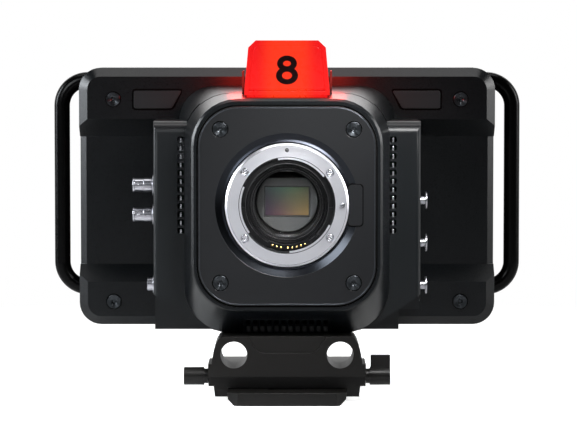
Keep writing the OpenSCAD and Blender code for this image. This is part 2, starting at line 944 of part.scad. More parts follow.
module heat_sink() {
    color(steel)
    union() {
        block(-sink_size / 2, sink_size / 2, sink_front, sink_front + sink_base_t,
            -sink_size / 2, sink_size / 2);
        for (i = [0:fin_count - 1])
            block(-sink_size / 2 + i * fin_pitch, -sink_size / 2 + i * fin_pitch + fin_t,
                sink_front, sink_back, -sink_size / 2, sink_size / 2);
    }
}

fan_back = sink_back + fan_t;
strut_t = 1.6;

module fan_frame() {
    color(deep_black)
    union() {
        difference() {
            slab(sink_back, fan_back) round_rect(sink_size, sink_size, wall);
            barrel(0, 0, sink_back - overrun, fan_back + overrun, fan_r);
        }
        barrel(0, 0, fan_back - strut_t, fan_back, fan_hub_r);
        barrel(0, 0, sink_back + strut_t, fan_back - strut_t, fan_pin_r);
        for (a = [0, 1])
            block(a ? -strut_t : -fan_r - wall / 2, a ? strut_t : fan_r + wall / 2,
                fan_back - strut_t, fan_back, a ? -fan_r - wall / 2 : -strut_t,
                a ? fan_r + wall / 2 : strut_t);
    }
}

module fan_rotor() {
    hub_front = sink_back + strut_t / 2;
    hub_back = fan_back - strut_t - part_gap;
    color(deep_black)
    difference() {
        union() {
            barrel(0, 0, hub_front, hub_back, fan_hub_r);
            for (i = [0:fan_blades - 1])
                translate([0, y_at((hub_front + hub_back) / 2), axis_height])
                    rotate([0, i * 360 / fan_blades, 0])
                    translate([fan_hub_r - wall / 2, 0, 0])
                    rotate([fan_tilt, 0, 0])
                    translate([0, -fan_blade_w / 2, -fan_blade_t / 2])
                    cube([fan_r - overrun - fan_hub_r + wall / 2, fan_blade_w, fan_blade_t]);
        }
        barrel(0, 0, hub_front - overrun, hub_back + overrun, fan_pin_r + running_gap);
    }
}

module main_board() {
    color(board_green)
    union() {
        block(-board_half_w, board_half_w, board_front, board_front + board_t, board_low,
            board_high);
        for (x = [-1, 1], h = [board_low + wall * 2, board_high - wall * 2])
            barrel(x * (board_half_w - wall * 3), h, board_front + board_t / 2, scoop_floor,
                standoff_r);
        for (x = [-1, 1])
            block(x * board_half_w / 2 - chip_size / 2, x * board_half_w / 2 + chip_size / 2,
                board_front - chip_t, board_front + board_t / 2, -chip_size / 2, chip_size / 2);
    }
}

// Rounded underside of the module, from its side down to its flat bottom
arc_steps = 8;
arc_x = -module_w / 2 + module_side_end * 0.46;
arc_sweep = asin((-module_flat_half_w - arc_x) / arc_r);
function module_arc(inset) = [for (i = [0:arc_steps]) let (a = arc_sweep * (1 - i / arc_steps))
    [-module_flat_half_w - (arc_r - inset) * sin(a),
     -camera_bottom + arc_r - (arc_r - inset) * cos(a)]];
function module_half(inset) = concat(
    [[0, module_top - inset], [-module_w / 2 + inset, module_top - inset],
     [-module_w / 2 + inset, -module_side_end + inset / 2]],
    module_arc(inset), [[0, -camera_bottom + inset]]);

module module_outline(inset) {
    both_sides() polygon(module_half(inset));
}

// Side view of the module, which fits against the housing's bands and scoop
module module_side(grow) {
    polygon([[module_front - grow, module_top + grow],
        [housing_front, module_top + grow],
        [housing_front, scoop_high], [scoop_floor, scoop_high_floor],
        [scoop_floor, -scoop_low_floor], [housing_front, -scoop_low],
        [housing_front, -camera_bottom - grow], [module_front - grow, -camera_bottom - grow]]);
}

// Cutter that leaves a round edge of radius r, drawn at the corner point
module edge_cutter(r) {
    difference() {
        translate([-overrun, -overrun]) square(r + overrun);
        translate([r, r]) circle(r);
    }
}

module side_holes(grow) {
    for (h = [sdi_high, -sdi_low])
        crossbar(-module_w, -module_w / 2 + sdi_tail + grow, sdi_depth, h, sdi_r + grow);
    crossbar(-module_w, -module_w / 2 + sdi_tail + grow, sdi_depth, -dc_h, dc_r + grow);
    block(-module_w, -module_w / 2 + wall * 2, jack_depth - jack_w / 2 - grow,
        jack_depth + jack_w / 2 + grow, jack_centre_h - jack_h / 2 - grow,
        jack_centre_h + jack_h / 2 + grow);
    for (i = [0:2]) {
        crossbar(module_w / 2 - xlr_l - grow, module_w, xlr_depth, xlr_first - i * xlr_pitch,
            xlr_r + grow);
        crossbar(module_w / 2 - wall * 2, module_w, tab_depth, xlr_first - i * xlr_pitch,
            tab_stem_r + running_gap);
    }
}

module vent_places() {
    for (s = [-1, 1], i = [0:vent_count - 1])
        translate([s * vent_x, 0, vent_first - i * vent_pitch]) children();
}

module module_shell() {
    color(body_black)
    difference() {
        union() {
            difference() {
                intersection() {
                    slab(module_front, scoop_floor) module_outline(0);
                    cross_slab(-module_w, module_w) module_side(0);
                }
                intersection() {
                    slab(module_front + wall, scoop_floor + overrun) module_outline(wall);
                    cross_slab(-module_w, module_w)
                        polygon([[module_front + wall, module_top - wall],
                            [housing_front - wall, module_top - wall],
                            [scoop_floor + overrun, scoop_high_floor - wall * 2],
                            [scoop_floor + overrun, -scoop_low_floor + wall * 2],
                            [housing_front - wall, -scoop_low],
                            [housing_front - wall, -camera_bottom + wall],
                            [module_front + wall, -camera_bottom + wall]]);
                }
            }
            difference() {
                union() {
                    block(-module_w / 2, foot_block_w, foot_block_front, housing_front,
                        -camera_bottom, -foot_block_top);
                    block(-module_w / 2, module_w / 2, foot_block_front, housing_front,
                        -side_block_low, -foot_block_top);
                }
                block(-module_w / 2 + wall, foot_block_w - wall, foot_block_front + wall,
                    housing_front - wall, -camera_bottom + wall, -foot_block_top + overrun);
                block(-module_w / 2 + wall, module_w / 2 - wall, foot_block_front + wall,
                    housing_front - wall, -side_block_low + wall, -foot_block_top + overrun);
            }
            for (i = [0:2])
                crossbar(module_w / 2 - wall * 2, module_w / 2, tab_depth,
                    xlr_first - i * xlr_pitch, tab_disc_r);
        }
        slab(module_front - overrun, module_front + wall + overrun)
            translate([0, (opening_top - opening_bottom) / 2])
            round_rect(2 * opening_half_w, opening_top + opening_bottom, rim_r);
        translate([0, y_at(module_front), z_at(module_top)])
            rotate([90, 0, 90])
            translate([0, 0, -module_w])
            linear_extrude(2 * module_w)
            mirror([0, 1]) edge_cutter(module_top_round);
        both_sides()
            translate([-module_w / 2, y_at(module_front), 0])
            linear_extrude(axis_height * 2) edge_cutter(module_side_round);
        side_holes(part_gap / 2);
        vent_places()
            slab(module_front - overrun, module_front + wall + overrun)
            round_rect(vent_w, vent_slot_h, vent_corner);
    }
}

module side_vent_fins() {
    color(steel)
    vent_places()
        block(-fin_tip_w / 2, fin_tip_w / 2, module_front + wall / 4, module_front + wall,
            -vent_slot_h / 2, -vent_slot_h / 2 + fin_tip_h);
}

// Height of the chin's skin at a depth
function chin_h(d) = nose_bottom(d);
grille_front = wall_back + wall + part_gap;
grille_back = chin_back - 2 * part_gap;
grille_t = wall * 1.2;

module bottom_grille() {
    color(body_black)
    union() {
        for (i = [0:rib_count - 1])
            let (x = (i - (rib_count - 1) / 2) * rib_pitch)
            cross_slab(x - rib_t / 2, x + rib_t / 2)
                polygon([[grille_front, chin_h(grille_front)], [grille_back, chin_h(grille_back)],
                    [grille_back, chin_h(grille_back) + grille_t],
                    [grille_front, chin_h(grille_front) + grille_t]]);
        for (d = [grille_front, grille_back - grille_bar])
            cross_slab(-grille_half_w + part_gap, grille_half_w - part_gap)
                polygon([[d, chin_h(d)], [d + grille_bar, chin_h(d + grille_bar)],
                    [d + grille_bar, chin_h(d + grille_bar) + grille_t],
                    [d, chin_h(d) + grille_t]]);
        for (x = [-grille_half_w + part_gap, grille_half_w - part_gap - grille_bar])
            cross_slab(x, x + grille_bar)
                polygon([[grille_front, chin_h(grille_front)], [grille_back, chin_h(grille_back)],
                    [grille_back, chin_h(grille_back) + grille_t],
                    [grille_front, chin_h(grille_front) + grille_t]]);
    }
}

side_x = module_w / 2;

module sdi_connectors() {
    color(silver)
    for (h = [sdi_high, -sdi_low])
        difference() {
            union() {
                crossbar(-side_x - sdi_out, -side_x + sdi_tail, sdi_depth, h, sdi_r);
                crossbar(-side_x - sdi_nut_t, -side_x, sdi_depth, h, sdi_nut_r);
                translate([-side_x - sdi_out + sdi_r, y_at(sdi_depth), z_at(h)])
                    for (s = [-90, 90]) rotate([s, 0, 0])
                    cylinder(h = sdi_r + sdi_lug_r, r = sdi_lug_r);
            }
            crossbar(-side_x - sdi_out - overrun, -side_x - sdi_floor, sdi_depth, h, sdi_bore_r);
        }
}

module sdi_centre_pins() {
    color(brass)
    for (h = [sdi_high, -sdi_low])
        crossbar(-side_x - sdi_out + sdi_r, -side_x - sdi_floor, sdi_depth, h, sdi_pin_r);
}

module dc_socket() {
    color(silver)
    difference() {
        union() {
            crossbar(-side_x - dc_out, -side_x + sdi_tail, sdi_depth, -dc_h, dc_r);
            crossbar(-side_x - dc_flange_t, -side_x, sdi_depth, -dc_h, dc_flange_r);
        }
        crossbar(-side_x - dc_out - overrun, -side_x + sdi_floor, sdi_depth, -dc_h, dc_bore_r);
    }
}

module ethernet_jack() {
    color(steel)
    difference() {
        block(-side_x - part_gap, -side_x + jack_l, jack_depth - jack_w / 2,
            jack_depth + jack_w / 2, jack_centre_h - jack_h / 2, jack_centre_h + jack_h / 2);
        block(-side_x - overrun, -side_x + jack_l - jack_wall, jack_depth - jack_w / 2 + jack_wall,
            jack_depth + jack_w / 2 - jack_wall, jack_centre_h - jack_h / 2 + jack_wall,
            jack_centre_h + jack_h / 2 - jack_wall);
    }
}

module xlr_sockets() {
    color(deep_black)
    for (i = [0:2])
        difference() {
            crossbar(side_x - xlr_l, side_x + xlr_lip, xlr_depth, xlr_first - i * xlr_pitch, xlr_r);
            difference() {
                crossbar(side_x - xlr_well_l, side_x + xlr_lip + overrun, xlr_depth,
                    xlr_first - i * xlr_pitch, xlr_well_r);
                for (a = [90, 210, 330])
                    crossbar(side_x - xlr_well_l - overrun, side_x - xlr_lip,
                        xlr_depth + xlr_pin_pitch_r * cos(a),
                        xlr_first - i * xlr_pitch + xlr_pin_pitch_r * sin(a), xlr_pin_r);
            }
        }
}

module xlr_release(i) {
    h = xlr_first - i * xlr_pitch;
    color(silver)
    union() {
        crossbar(side_x - tab_stem_in, side_x + tab_stem_out + tab_disc_t / 2, tab_depth, h,
            tab_stem_r);
        crossbar(side_x + tab_stem_out, side_x + tab_stem_out + tab_disc_t, tab_depth, h,
            tab_disc_r);
    }
}

module xlr_release_top() {
    xlr_release(0);
}

module xlr_release_middle() {
    xlr_release(1);
}

module xlr_release_bottom() {
    xlr_release(2);
}

function housing_section(d, inset) =
    [d, housing_w / 2 - inset, housing_top - inset, -housing_bottom + inset, housing_r - inset];
high_slope = (scoop_high - scoop_high_floor) / (scoop_floor - housing_front);
low_slope = (scoop_low - scoop_low_floor) / (scoop_floor - housing_front);

// A full height slab of the housing's outline, with true round corners
module housing_slab(front, back, inset) {
    slab(front, back)
        translate([0, (housing_top - housing_bottom) / 2])
        round_rect(housing_w - 2 * inset, housing_top + housing_bottom - 2 * inset,
            housing_r - inset);
}

module mic_outline(grow) {
    points = [[-mic_outer - grow, mic_top + grow], [-mic_inner_top + grow, mic_top + grow],
        [-mic_inner_low + grow, mic_low - grow], [-mic_outer - grow, mic_low - grow]];
    polygon([for (i = [0:3])
        each soft_corner(points[(i + 3) % 4], points[i], points[(i + 1) % 4], mic_corner + grow)]);
}

module housing_screw_places() {
    for (x = [-1, 1], h = [housing_screw_high, -housing_screw_low])
        translate([x * housing_screw_x, 0, h]) children();
}

module rear_housing() {
    color(body_black)
    difference() {
        union() {
            difference() {
                loft([housing_section(housing_front, housing_chamfer),
                    housing_section(housing_front + housing_chamfer, 0),
                    housing_section(cover_front, 0)]);
                housing_slab(scoop_floor + wall, cover_front + overrun, wall);
                block(-band_cavity_half_w, band_cavity_half_w, housing_front + wall,
                    scoop_floor + wall + overrun, scoop_high + band_web, band_cavity_top);
                block(-band_cavity_half_w, band_cavity_half_w, housing_front + wall,
                    scoop_floor + wall + overrun, -band_cavity_low, -scoop_low - band_web);
            }
            both_sides() {
                block(boss_inner, boss_outer, handle_depth - boss_half, cover_front,
                    handle_top - boss_half, handle_top + boss_half / 2);
                block(boss_inner, housing_w / 2 - wall / 2, handle_depth - boss_half, cover_front,
                    -handle_bottom - boss_half, -handle_bottom + boss_half);
            }
        }
        cross_slab(-housing_w, housing_w)
            polygon([[housing_front - overrun, scoop_high + overrun * high_slope],
                [scoop_floor, scoop_high_floor], [scoop_floor, -scoop_low_floor],
                [housing_front - overrun, -scoop_low - overrun * low_slope]]);
        both_sides()
            translate([-housing_w / 2, y_at(scoop_floor), z_at(-scoop_low_floor)])
            linear_extrude(scoop_high_floor + scoop_low_floor)
            polygon([[-overrun, -overrun], [scoop_edge, -overrun], [scoop_edge, 0],
                [0, scoop_edge], [-overrun, scoop_edge]]);
        for (s = [-1, 1], h = [handle_top, -handle_bottom])
            crossbar(s > 0 ? leg_end : -housing_w, s > 0 ? housing_w : -leg_end, handle_depth, h,
                handle_r + socket_gap);
        block(-cable_half_w, cable_half_w, scoop_floor - overrun, scoop_floor + wall + overrun,
            -cable_half_h, cable_half_h);
        both_sides()
            slab(housing_front - overrun, housing_front + wall + overrun)
            mic_outline(mic_groove);
        housing_screw_places() spun_screw_hole(0, 0, housing_front);
    }
}

module housing_screws() {
    color(body_black)
    housing_screw_places() spun_screw(0, 0, housing_front);
}

module mic_cover() {
    slab(housing_front - mic_front, housing_front + wall) mic_outline(0);
    slab(housing_front + mic_step, housing_front + wall) mic_outline(mic_groove - mic_gap);
}

module mic_cover_left() {
    color(plate_black) mic_cover();
}

module mic_cover_right() {
    color(plate_black) mirror([1, 0, 0]) mic_cover();
}

module mic_capsules() {
    color(steel)
    for (s = [-1, 1])
        barrel(s * mic_x, (mic_top + mic_low) / 2, housing_front + wall,
            housing_front + wall + mic_l, mic_r);
}

function knob_h_at(i) = knob_top - i * knob_step;
function button_h_at(i) = button_top - i * button_step;

module rear_cover() {
    color(body_black)
    difference() {
        union() {
            housing_slab(cover_front, housing_back - rim_edge, 0);
            housing_slab(cover_front, housing_back, rim_edge);
        }
        translate([screen_x, 0, 0]) {
            slab(housing_back - glass_t, housing_back + overrun)
                round_rect(glass_w + 2 * glass_gap, glass_h + 2 * glass_gap, glass_r);
            slab(cover_front - overrun, housing_back)
                round_rect(glass_w - 2 * window_ledge, glass_h - 2 * window_ledge, glass_r);
        }
        for (i = [0:2]) {
            barrel(controls_x, knob_h_at(i), cover_front - overrun, housing_back + overrun,
                knob_shaft_r + running_gap);
            barrel(controls_x, button_h_at(i), cover_front - overrun, housing_back + overrun,
                button_r + part_gap);
        }
    }
}

module lcd_panel() {
    color("#15181c")
    translate([screen_x, 0, 0])
    slab(cover_front - lcd_t, cover_front)
        round_rect(glass_w - 2 * lcd_margin, glass_h - 2 * lcd_margin, lcd_margin);
}

module screen_glass() {
    color("#0a0b0d")
    translate([screen_x, 0, 0])
    slab(housing_back - glass_t, housing_back - part_gap) round_rect(glass_w, glass_h, glass_r);
}

module rear_knob(h) {
    color(body_black)
    difference() {
        union() {
            barrel(controls_x, h, cover_front - knob_flange_t - knob_stand,
                housing_back + knob_h, knob_shaft_r);
            barrel(controls_x, h, cover_front - knob_flange_t - knob_stand,
                cover_front - knob_stand, knob_shaft_r + knob_flange_t);
            barrel(controls_x, h, housing_back + knob_stand, housing_back + knob_h, knob_r);
        }
        for (a = [0:30:330])
            barrel(controls_x + (knob_r + knob_stand) * cos(a), h + (knob_r + knob_stand) * sin(a),
                housing_back, housing_back + knob_h + overrun, knob_stand * 2);
        block(controls_x - knob_stand, controls_x + knob_stand, housing_back + knob_h - knob_stand,
            housing_back + knob_h + overrun, h + knob_r / 2, h + knob_r + overrun);
    }
}

module brightness_knob() {
    rear_knob(knob_h_at(0));
}

module contrast_knob() {
    rear_knob(knob_h_at(1));
}

module focus_knob() {
    rear_knob(knob_h_at(2));
}

module rear_button(h, finish) {
    flange_back = cover_front - knob_stand;
    color(finish)
    union() {
        barrel(controls_x, h, flange_back - button_flange, housing_back + button_out, button_r);
        barrel(controls_x, h, flange_back - button_flange, flange_back, button_r + button_flange);
    }
}

module menu_button() {
    rear_button(button_h_at(0), plate_black);
}

module function_button() {
    rear_button(button_h_at(1), plate_black);
}

module record_button() {
    rear_button(button_h_at(2), tally_red);
}

// One side bar: two bends and three straight runs of tube
module handle() {
    bend_top = handle_top - handle_bend_r;
    bend_low = -handle_bottom + handle_bend_r;
    color(deep_black)
    union() {
        translate([handle_x, y_at(handle_depth), z_at(bend_low)])
            cylinder(h = bend_top - bend_low, r = handle_r);
        for (leg = [[bend_top, 0], [bend_low, 90]])
            translate([handle_x - handle_bend_r, y_at(handle_depth), z_at(leg[0])])
            rotate([90, leg[1], 0])
            rotate_extrude(angle = 90)
            translate([handle_bend_r, 0]) circle(handle_r);
        for (h = [handle_top, -handle_bottom])
            crossbar(leg_end + part_gap, handle_x - handle_bend_r, handle_depth, h, handle_r);
    }
}

module handle_right() {
    handle();
}

module handle_left() {
    mirror([1, 0, 0]) handle();
}

tally_back = tally_front + tally_l;
function tally_points(inset) = [
    [-tally_w / 2 + inset, tally_foot_h - 2 * inset], [-tally_w / 2 + inset, tally_side_h],
    [-tally_shoulder_w / 2 + inset, tally_shoulder_h - inset / 2],
    [-tally_top_w / 2 + inset / 2, tally_top - inset], [tally_top_w / 2 - inset / 2, tally_top - inset],
    [tally_shoulder_w / 2 - inset, tally_shoulder_h - inset / 2],
    [tally_w / 2 - inset, tally_side_h], [tally_w / 2 - inset, tally_foot_h - 2 * inset]];

module tally_lens() {
    color(tally_red, 0.95)
    difference() {
        slab(tally_front, tally_back) polygon(tally_points(0));
        slab(tally_front + tally_wall, tally_back - tally_wall) polygon(tally_points(tally_wall));
        nose_outer(tally_gap);
        tally_clips(part_gap);
    }
}

module tally_clips(grow) {
    block(-tally_w / 2 - tally_clip_w, tally_w / 2 + tally_clip_w, tally_clip_depth - grow,
        tally_clip_depth + tally_clip_l + grow, tally_foot_h - tally_clip_l,
        tally_floor_h + grow);
}

module tally_base() {
    color(body_black)
    difference() {
        union() {
            tally_clips(0);
            for (s = [0, 1]) mirror([s, 0, 0])
                block(tally_w / 2 + part_gap, tally_w / 2 + tally_clip_w + part_gap,
                    tally_clip_depth, tally_clip_depth + tally_clip_l, tally_foot_h,
                    tally_clip_top);
            block(-tally_w / 2 + tally_wall + part_gap * 2, tally_w / 2 - tally_wall - part_gap * 2,
                tally_front + tally_wall + part_gap, tally_back - tally_wall - part_gap,
                tally_foot_h, tally_floor_h);
        }
        nose_outer(part_gap / 3);
    }
}

module tally_led_board() {
    half_w = tally_shoulder_w / 2 - tally_wall * 2;
    color(board_green)
    union() {
        block(-half_w, half_w, tally_front + tally_wall * 2, tally_back - tally_wall * 2,
            tally_floor_h, tally_floor_h + led_board_t);
        for (x = [-1, -0.5, 0, 0.5, 1])
            translate([x * half_w * 0.8, y_at((tally_front + tally_back) / 2),
                z_at(tally_floor_h + led_board_t / 2)])
            cylinder(h = led_board_t / 2 + led_h, r = led_r);
    }
}

// Camera number: two oval rings that touch, drawn as polygons on the lamp's front
oval_steps = 40;
function oval(rx, ry, h) = [for (i = [0:oval_steps - 1]) let (a = i * 360 / oval_steps)
    [rx * cos(a), h + ry * sin(a)]];
upper_share = 0.47;
lap = digit_stroke * 0.8;
upper_ry = (digit_h + lap) * upper_share / 2;
lower_ry = (digit_h + lap) * (1 - upper_share) / 2;
upper_rx = digit_w / 2 * 0.9;

module tally_number() {
    top_h = digit_centre_h + digit_h / 2 - upper_ry;
    low_h = digit_centre_h - digit_h / 2 + lower_ry;
    color("#5a0d0a")
    slab(tally_front - digit_t, tally_front)
    difference() {
        union() {
            polygon(oval(upper_rx, upper_ry, top_h));
            polygon(oval(digit_w / 2, lower_ry, low_h));
        }
        polygon(oval(upper_rx - digit_stroke, upper_ry - digit_stroke * 0.85, top_h));
        polygon(oval(digit_w / 2 - digit_stroke, lower_ry - digit_stroke * 0.85, low_h));
    }
}

bracket_back = bracket_front + rod_bore_l;
saddle_back = bracket_back + saddle_l;
plate_top_h = -axis_height + plate_base_t;
pocket = [[-pocket_top_w, -camera_bottom + overrun], [-pocket_low_w, -pocket_low],
    [pocket_low_w, -pocket_low], [pocket_top_w, -camera_bottom + overrun]];

module bracket_outline() {
    both_sides()
        polygon(concat([[0, -camera_bottom]], [for (p = bracket_sides) [p[0], -p[1]]],
            [[0, -bracket_foot]]));
    translate([-boss_half_w, -boss_low]) square([2 * boss_half_w, boss_low - boss_high]);
}

// Outline of the dovetail plate, grown for the slot it slides in
module dovetail_outline(grow) {
    low_w = plate_base_w / 2 + grow;
    top_w = plate_top_w / 2 + grow;
    polygon([[-low_w, -axis_height - grow * 2], [low_w, -axis_height - grow * 2],
        [top_w, plate_top_h - plate_base_t / 2], [top_w, plate_top_h + grow],
        [-top_w, plate_top_h + grow], [-top_w, plate_top_h - plate_base_t / 2]]);
}

module clamp_hole(s, r, from, to) {
    crossbar(s > 0 ? from : -to, s > 0 ? to : -from, bracket_front + clamp_depth - undercut,
        -clamp_drop, r);
}

module rod_bracket() {
    color(bracket_black)
    difference() {
        union() {
            slab(bracket_front + undercut, bracket_back) bracket_outline();
            slab(bracket_front, bracket_back)
                intersection() {
                    bracket_outline();
                    translate([-housing_w, -undercut_low]) square([2 * housing_w, undercut_low]);
                }
            slab(bracket_back - overrun, saddle_back)
                translate([-saddle_half_w, -saddle_step - overrun])
                square([2 * saddle_half_w, saddle_step + overrun - camera_bottom]);
            slab(bracket_back - overrun, saddle_back)
                polygon([[bracket_foot_x, -bracket_foot], [bracket_foot_x, -saddle_step],
                    [-bracket_foot_x, -saddle_step], [-bracket_foot_x, -bracket_foot]]);
        }
        slab(bracket_front - overrun, saddle_back + overrun) dovetail_outline(dovetail_gap);
        for (s = [-1, 1])
            barrel(s * rod_spacing / 2, -rod_drop, bracket_front - overrun, bracket_back + overrun,
                rod_bore_r);
        slab(bracket_front - overrun, bracket_front + pocket_t)
            polygon(concat([pocket[0]], soft_corner(pocket[0], pocket[1], pocket[2], pocket_corner),
                soft_corner(pocket[1], pocket[2], pocket[3], pocket_corner), [pocket[3]]));
        for (s = [-1, 1]) clamp_hole(s, stud_r + running_gap, stud_in, boss_half_w + overrun);
    }
}

module dovetail_plate() {
    y_half = plate_base_l / 2;
    color(bracket_black)
    difference() {
        intersection() {
            translate([0, y_half, axis_height])
                rotate([90, 0, 0])
                linear_extrude(plate_base_l) dovetail_outline(0);
            linear_extrude(plate_base_t)
                polygon([[-plate_top_w, y_half], [-plate_top_w, -y_half + plate_corner],
                    [-plate_base_w / 2 - overrun, -y_half + plate_corner / 3],
                    [-plate_base_w / 2 + plate_corner / 3, -y_half],
                    [plate_base_w / 2 - plate_corner / 3, -y_half],
                    [plate_base_w / 2 + overrun, -y_half + plate_corner / 3],
                    [plate_top_w, -y_half + plate_corner], [plate_top_w, y_half]]);
        }
        translate([0, 0, -overrun]) {
            cylinder(h = plate_base_t + 2 * overrun, r = socket_small_r);
            translate([0, socket_step, 0])
                cylinder(h = plate_base_t + 2 * overrun, r = socket_large_r);
            for (s = [-1, 1])
                translate([0, s * slot_place, 0]) {
                    translate([-slot_half_l, -slot_r, 0])
                        cube([2 * slot_half_l, 2 * slot_r, plate_base_t + 2 * overrun]);
                    for (e = [-1, 1])
                        translate([e * slot_half_l, 0, 0])
                        cylinder(h = plate_base_t + 2 * overrun, r = slot_r);
                }
        }
    }
}

// Lever knob on a stud, drawn on the right; the lever points along the given turn
module lever_knob(turn) {
    collar_x = boss_half_w + part_gap;
    knob_x = collar_x + collar_t;
    translate([0, y_at(bracket_front + clamp_depth - undercut), z_at(-clamp_drop)])
        rotate([turn, 0, 0])
        union() {
            translate([stud_in + part_gap, 0, 0]) rotate([0, 90, 0])
                cylinder(h = knob_x - stud_in, r = stud_r);
            translate([collar_x, 0, 0]) rotate([0, 90, 0])
                cylinder(h = collar_t, r = collar_r);
            translate([knob_x, 0, 0]) rotate([0, 90, 0])
                cylinder(h = lever_l, r = lever_r);
            translate([knob_x + lever_groove, -lever_t / 2, 0])
                cube([lever_l - lever_groove, lever_t, lever_reach]);
        }
}

module plate_clamp_knob() {
    color(bracket_black) lever_knob(0);
}

module rod_clamp_knob() {
    color(bracket_black) mirror([1, 0, 0]) lever_knob(-90);
}

nose_shell();
front_plate();
front_plate_screws();
lens_mount_ring();
mount_ring_screws();
mount_throat();
contact_block();
contact_pins();
lens_lock_pin();
lens_release_button();
nd_carriage_a();
nd_filter_a();
nd_carriage_b();
nd_filter_b();
nd_guide_rods();
nd_motors();
sensor_filter();
sensor_chip();
sensor_package();
sensor_board();
sensor_frame();
heat_sink();
fan_frame();
fan_rotor();
main_board();
module_shell();
side_vent_fins();
bottom_grille();
sdi_connectors();
sdi_centre_pins();
dc_socket();
ethernet_jack();
xlr_sockets();
xlr_release_top();
xlr_release_middle();
xlr_release_bottom();
rear_housing();
rear_cover();
lcd_panel();
screen_glass();
housing_screws();
mic_cover_left();
mic_cover_right();
mic_capsules();
handle_left();
handle_right();
tally_base();
tally_lens();
tally_number();
tally_led_board();
brightness_knob();
contrast_knob();
focus_knob();
menu_button();
function_button();
record_button();
rod_bracket();
dovetail_plate();
rod_clamp_knob();
plate_clamp_knob();
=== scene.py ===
# %% [markdown]
# # A studio camera, piece by piece
# The object is a wide monitor housing with a square nose, a bayonet lens mount, a tally light
# on top and a rod bracket below. Every piece already has its exact size and place in the
# loaded frame, so this lesson only gives the pieces their real edges, small forms and finishes.
# Lengths are in metres, and a value written as `5 * MM` is five millimetres.

import json
import math

import bpy
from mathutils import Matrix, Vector


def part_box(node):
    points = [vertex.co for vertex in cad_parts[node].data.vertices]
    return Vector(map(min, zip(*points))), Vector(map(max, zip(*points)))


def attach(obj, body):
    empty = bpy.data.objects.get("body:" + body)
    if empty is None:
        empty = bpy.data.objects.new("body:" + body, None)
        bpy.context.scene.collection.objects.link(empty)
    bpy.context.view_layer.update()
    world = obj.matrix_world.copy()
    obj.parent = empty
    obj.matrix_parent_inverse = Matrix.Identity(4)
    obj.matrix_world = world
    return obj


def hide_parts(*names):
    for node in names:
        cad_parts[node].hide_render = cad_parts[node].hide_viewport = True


MM = 0.001
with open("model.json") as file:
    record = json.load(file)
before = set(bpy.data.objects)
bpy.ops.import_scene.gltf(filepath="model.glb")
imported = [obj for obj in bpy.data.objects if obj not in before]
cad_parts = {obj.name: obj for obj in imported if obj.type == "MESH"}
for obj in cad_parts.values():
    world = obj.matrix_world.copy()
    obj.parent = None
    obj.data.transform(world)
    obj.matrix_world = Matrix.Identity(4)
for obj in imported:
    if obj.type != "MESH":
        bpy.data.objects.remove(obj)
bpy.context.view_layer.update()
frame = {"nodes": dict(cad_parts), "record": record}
print("nodes in the frame:", len(frame["nodes"]))

# %% [markdown]
# ## One way to say where things are
# A camera is measured from its lens mount: how far behind the mount's flange, and how far from
# the lens axis. We read both from the mount ring once, and `at` turns such a measure into a
# point. Typing the same offsets in every piece would hide which number means what.

# %% Places on the camera
ring_low, ring_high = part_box("lens_mount_ring")
AXIS_Z = (ring_low.z + ring_high.z) / 2
FLANGE_Y = ring_low.y


def at(x, depth, height):
    """The point x right of, depth behind and height over the middle of the lens flange, in mm."""
    return Vector((x * MM, FLANGE_Y + depth * MM, AXIS_Z + height * MM))


def around(radius, depth, angle):
    """The point on a circle round the lens axis, at an angle in degrees from the right."""
    turned = math.radians(angle)
    return at(radius * math.cos(turned), depth, radius * math.sin(turned))


def depth_of(y):
    """How far behind the flange a y value lies, in mm."""
    return (y - FLANGE_Y) / MM


print("lens axis at", round(AXIS_Z / MM, 2), "mm over the foot")

# %% [markdown]
# ## The camera that takes the picture
# The picture was taken from straight ahead and a little above, from about 1.6 m. A long lens
# keeps the front square, and aiming the camera down a few degrees does the framing, so no
# lens shift is needed.

# %% Picture camera
PICTURE_WIDTH, PICTURE_HEIGHT = 577, 433
FOCAL_PIXELS = 2864
HORIZON_PIXEL = (287, 45)
SENSOR_WIDTH = 36
EYE = at(0, -1600, 89.6)

picture_camera = bpy.data.objects.new("picture_camera", bpy.data.cameras.new("picture_camera"))
bpy.context.scene.collection.objects.link(picture_camera)
picture_camera.data.sensor_width = SENSOR_WIDTH
picture_camera.data.lens = FOCAL_PIXELS / PICTURE_WIDTH * SENSOR_WIDTH
picture_camera.data.clip_start = 0.05
down = math.atan((PICTURE_HEIGHT / 2 - HORIZON_PIXEL[1]) / FOCAL_PIXELS)
turn = math.atan((PICTURE_WIDTH / 2 - HORIZON_PIXEL[0]) / FOCAL_PIXELS)
picture_camera.location = EYE
picture_camera.rotation_euler = (math.pi / 2 - down, 0, -turn)
bpy.context.scene.camera = picture_camera
print("lens", round(picture_camera.data.lens, 1), "mm, aimed down", round(math.degrees(down), 2))

# %% [markdown]
# ## Small helpers for modelling
# An operator acts on whatever is selected, so `only` clears the selection before each step.
# `weld` merges double points and turns the faces outwards, `round_edges` bevels the sharp
# edges, and `smooth` shades a piece smooth except at real corners. A bevel is what makes an
# edge catch the light, as no real edge is perfectly sharp. `cut_box` cuts a box out of a piece.

# %% Modelling helpers
CORNER_ANGLE = math.radians(32)


def only(piece):
    """Selects one piece and nothing else."""
    bpy.ops.object.select_all(action="DESELECT")
    piece.select_set(True)
    bpy.context.view_layer.objects.active = piece
    return piece


def added(name):
    """Names the primitive that was just added and puts its origin at the world's."""
    piece = bpy.context.object
    piece.name = piece.data.name = name
    only(piece)
    bpy.ops.object.transform_apply(location=True, rotation=True, scale=True)
    return piece


def edit(piece, mode="VERT", whole=False):
    """Opens a piece in edit mode, with all of it or nothing selected."""
    only(piece)
    bpy.ops.object.mode_set(mode="EDIT")
    bpy.ops.mesh.select_mode(type=mode)
    bpy.ops.mesh.select_all(action="SELECT" if whole else "DESELECT")


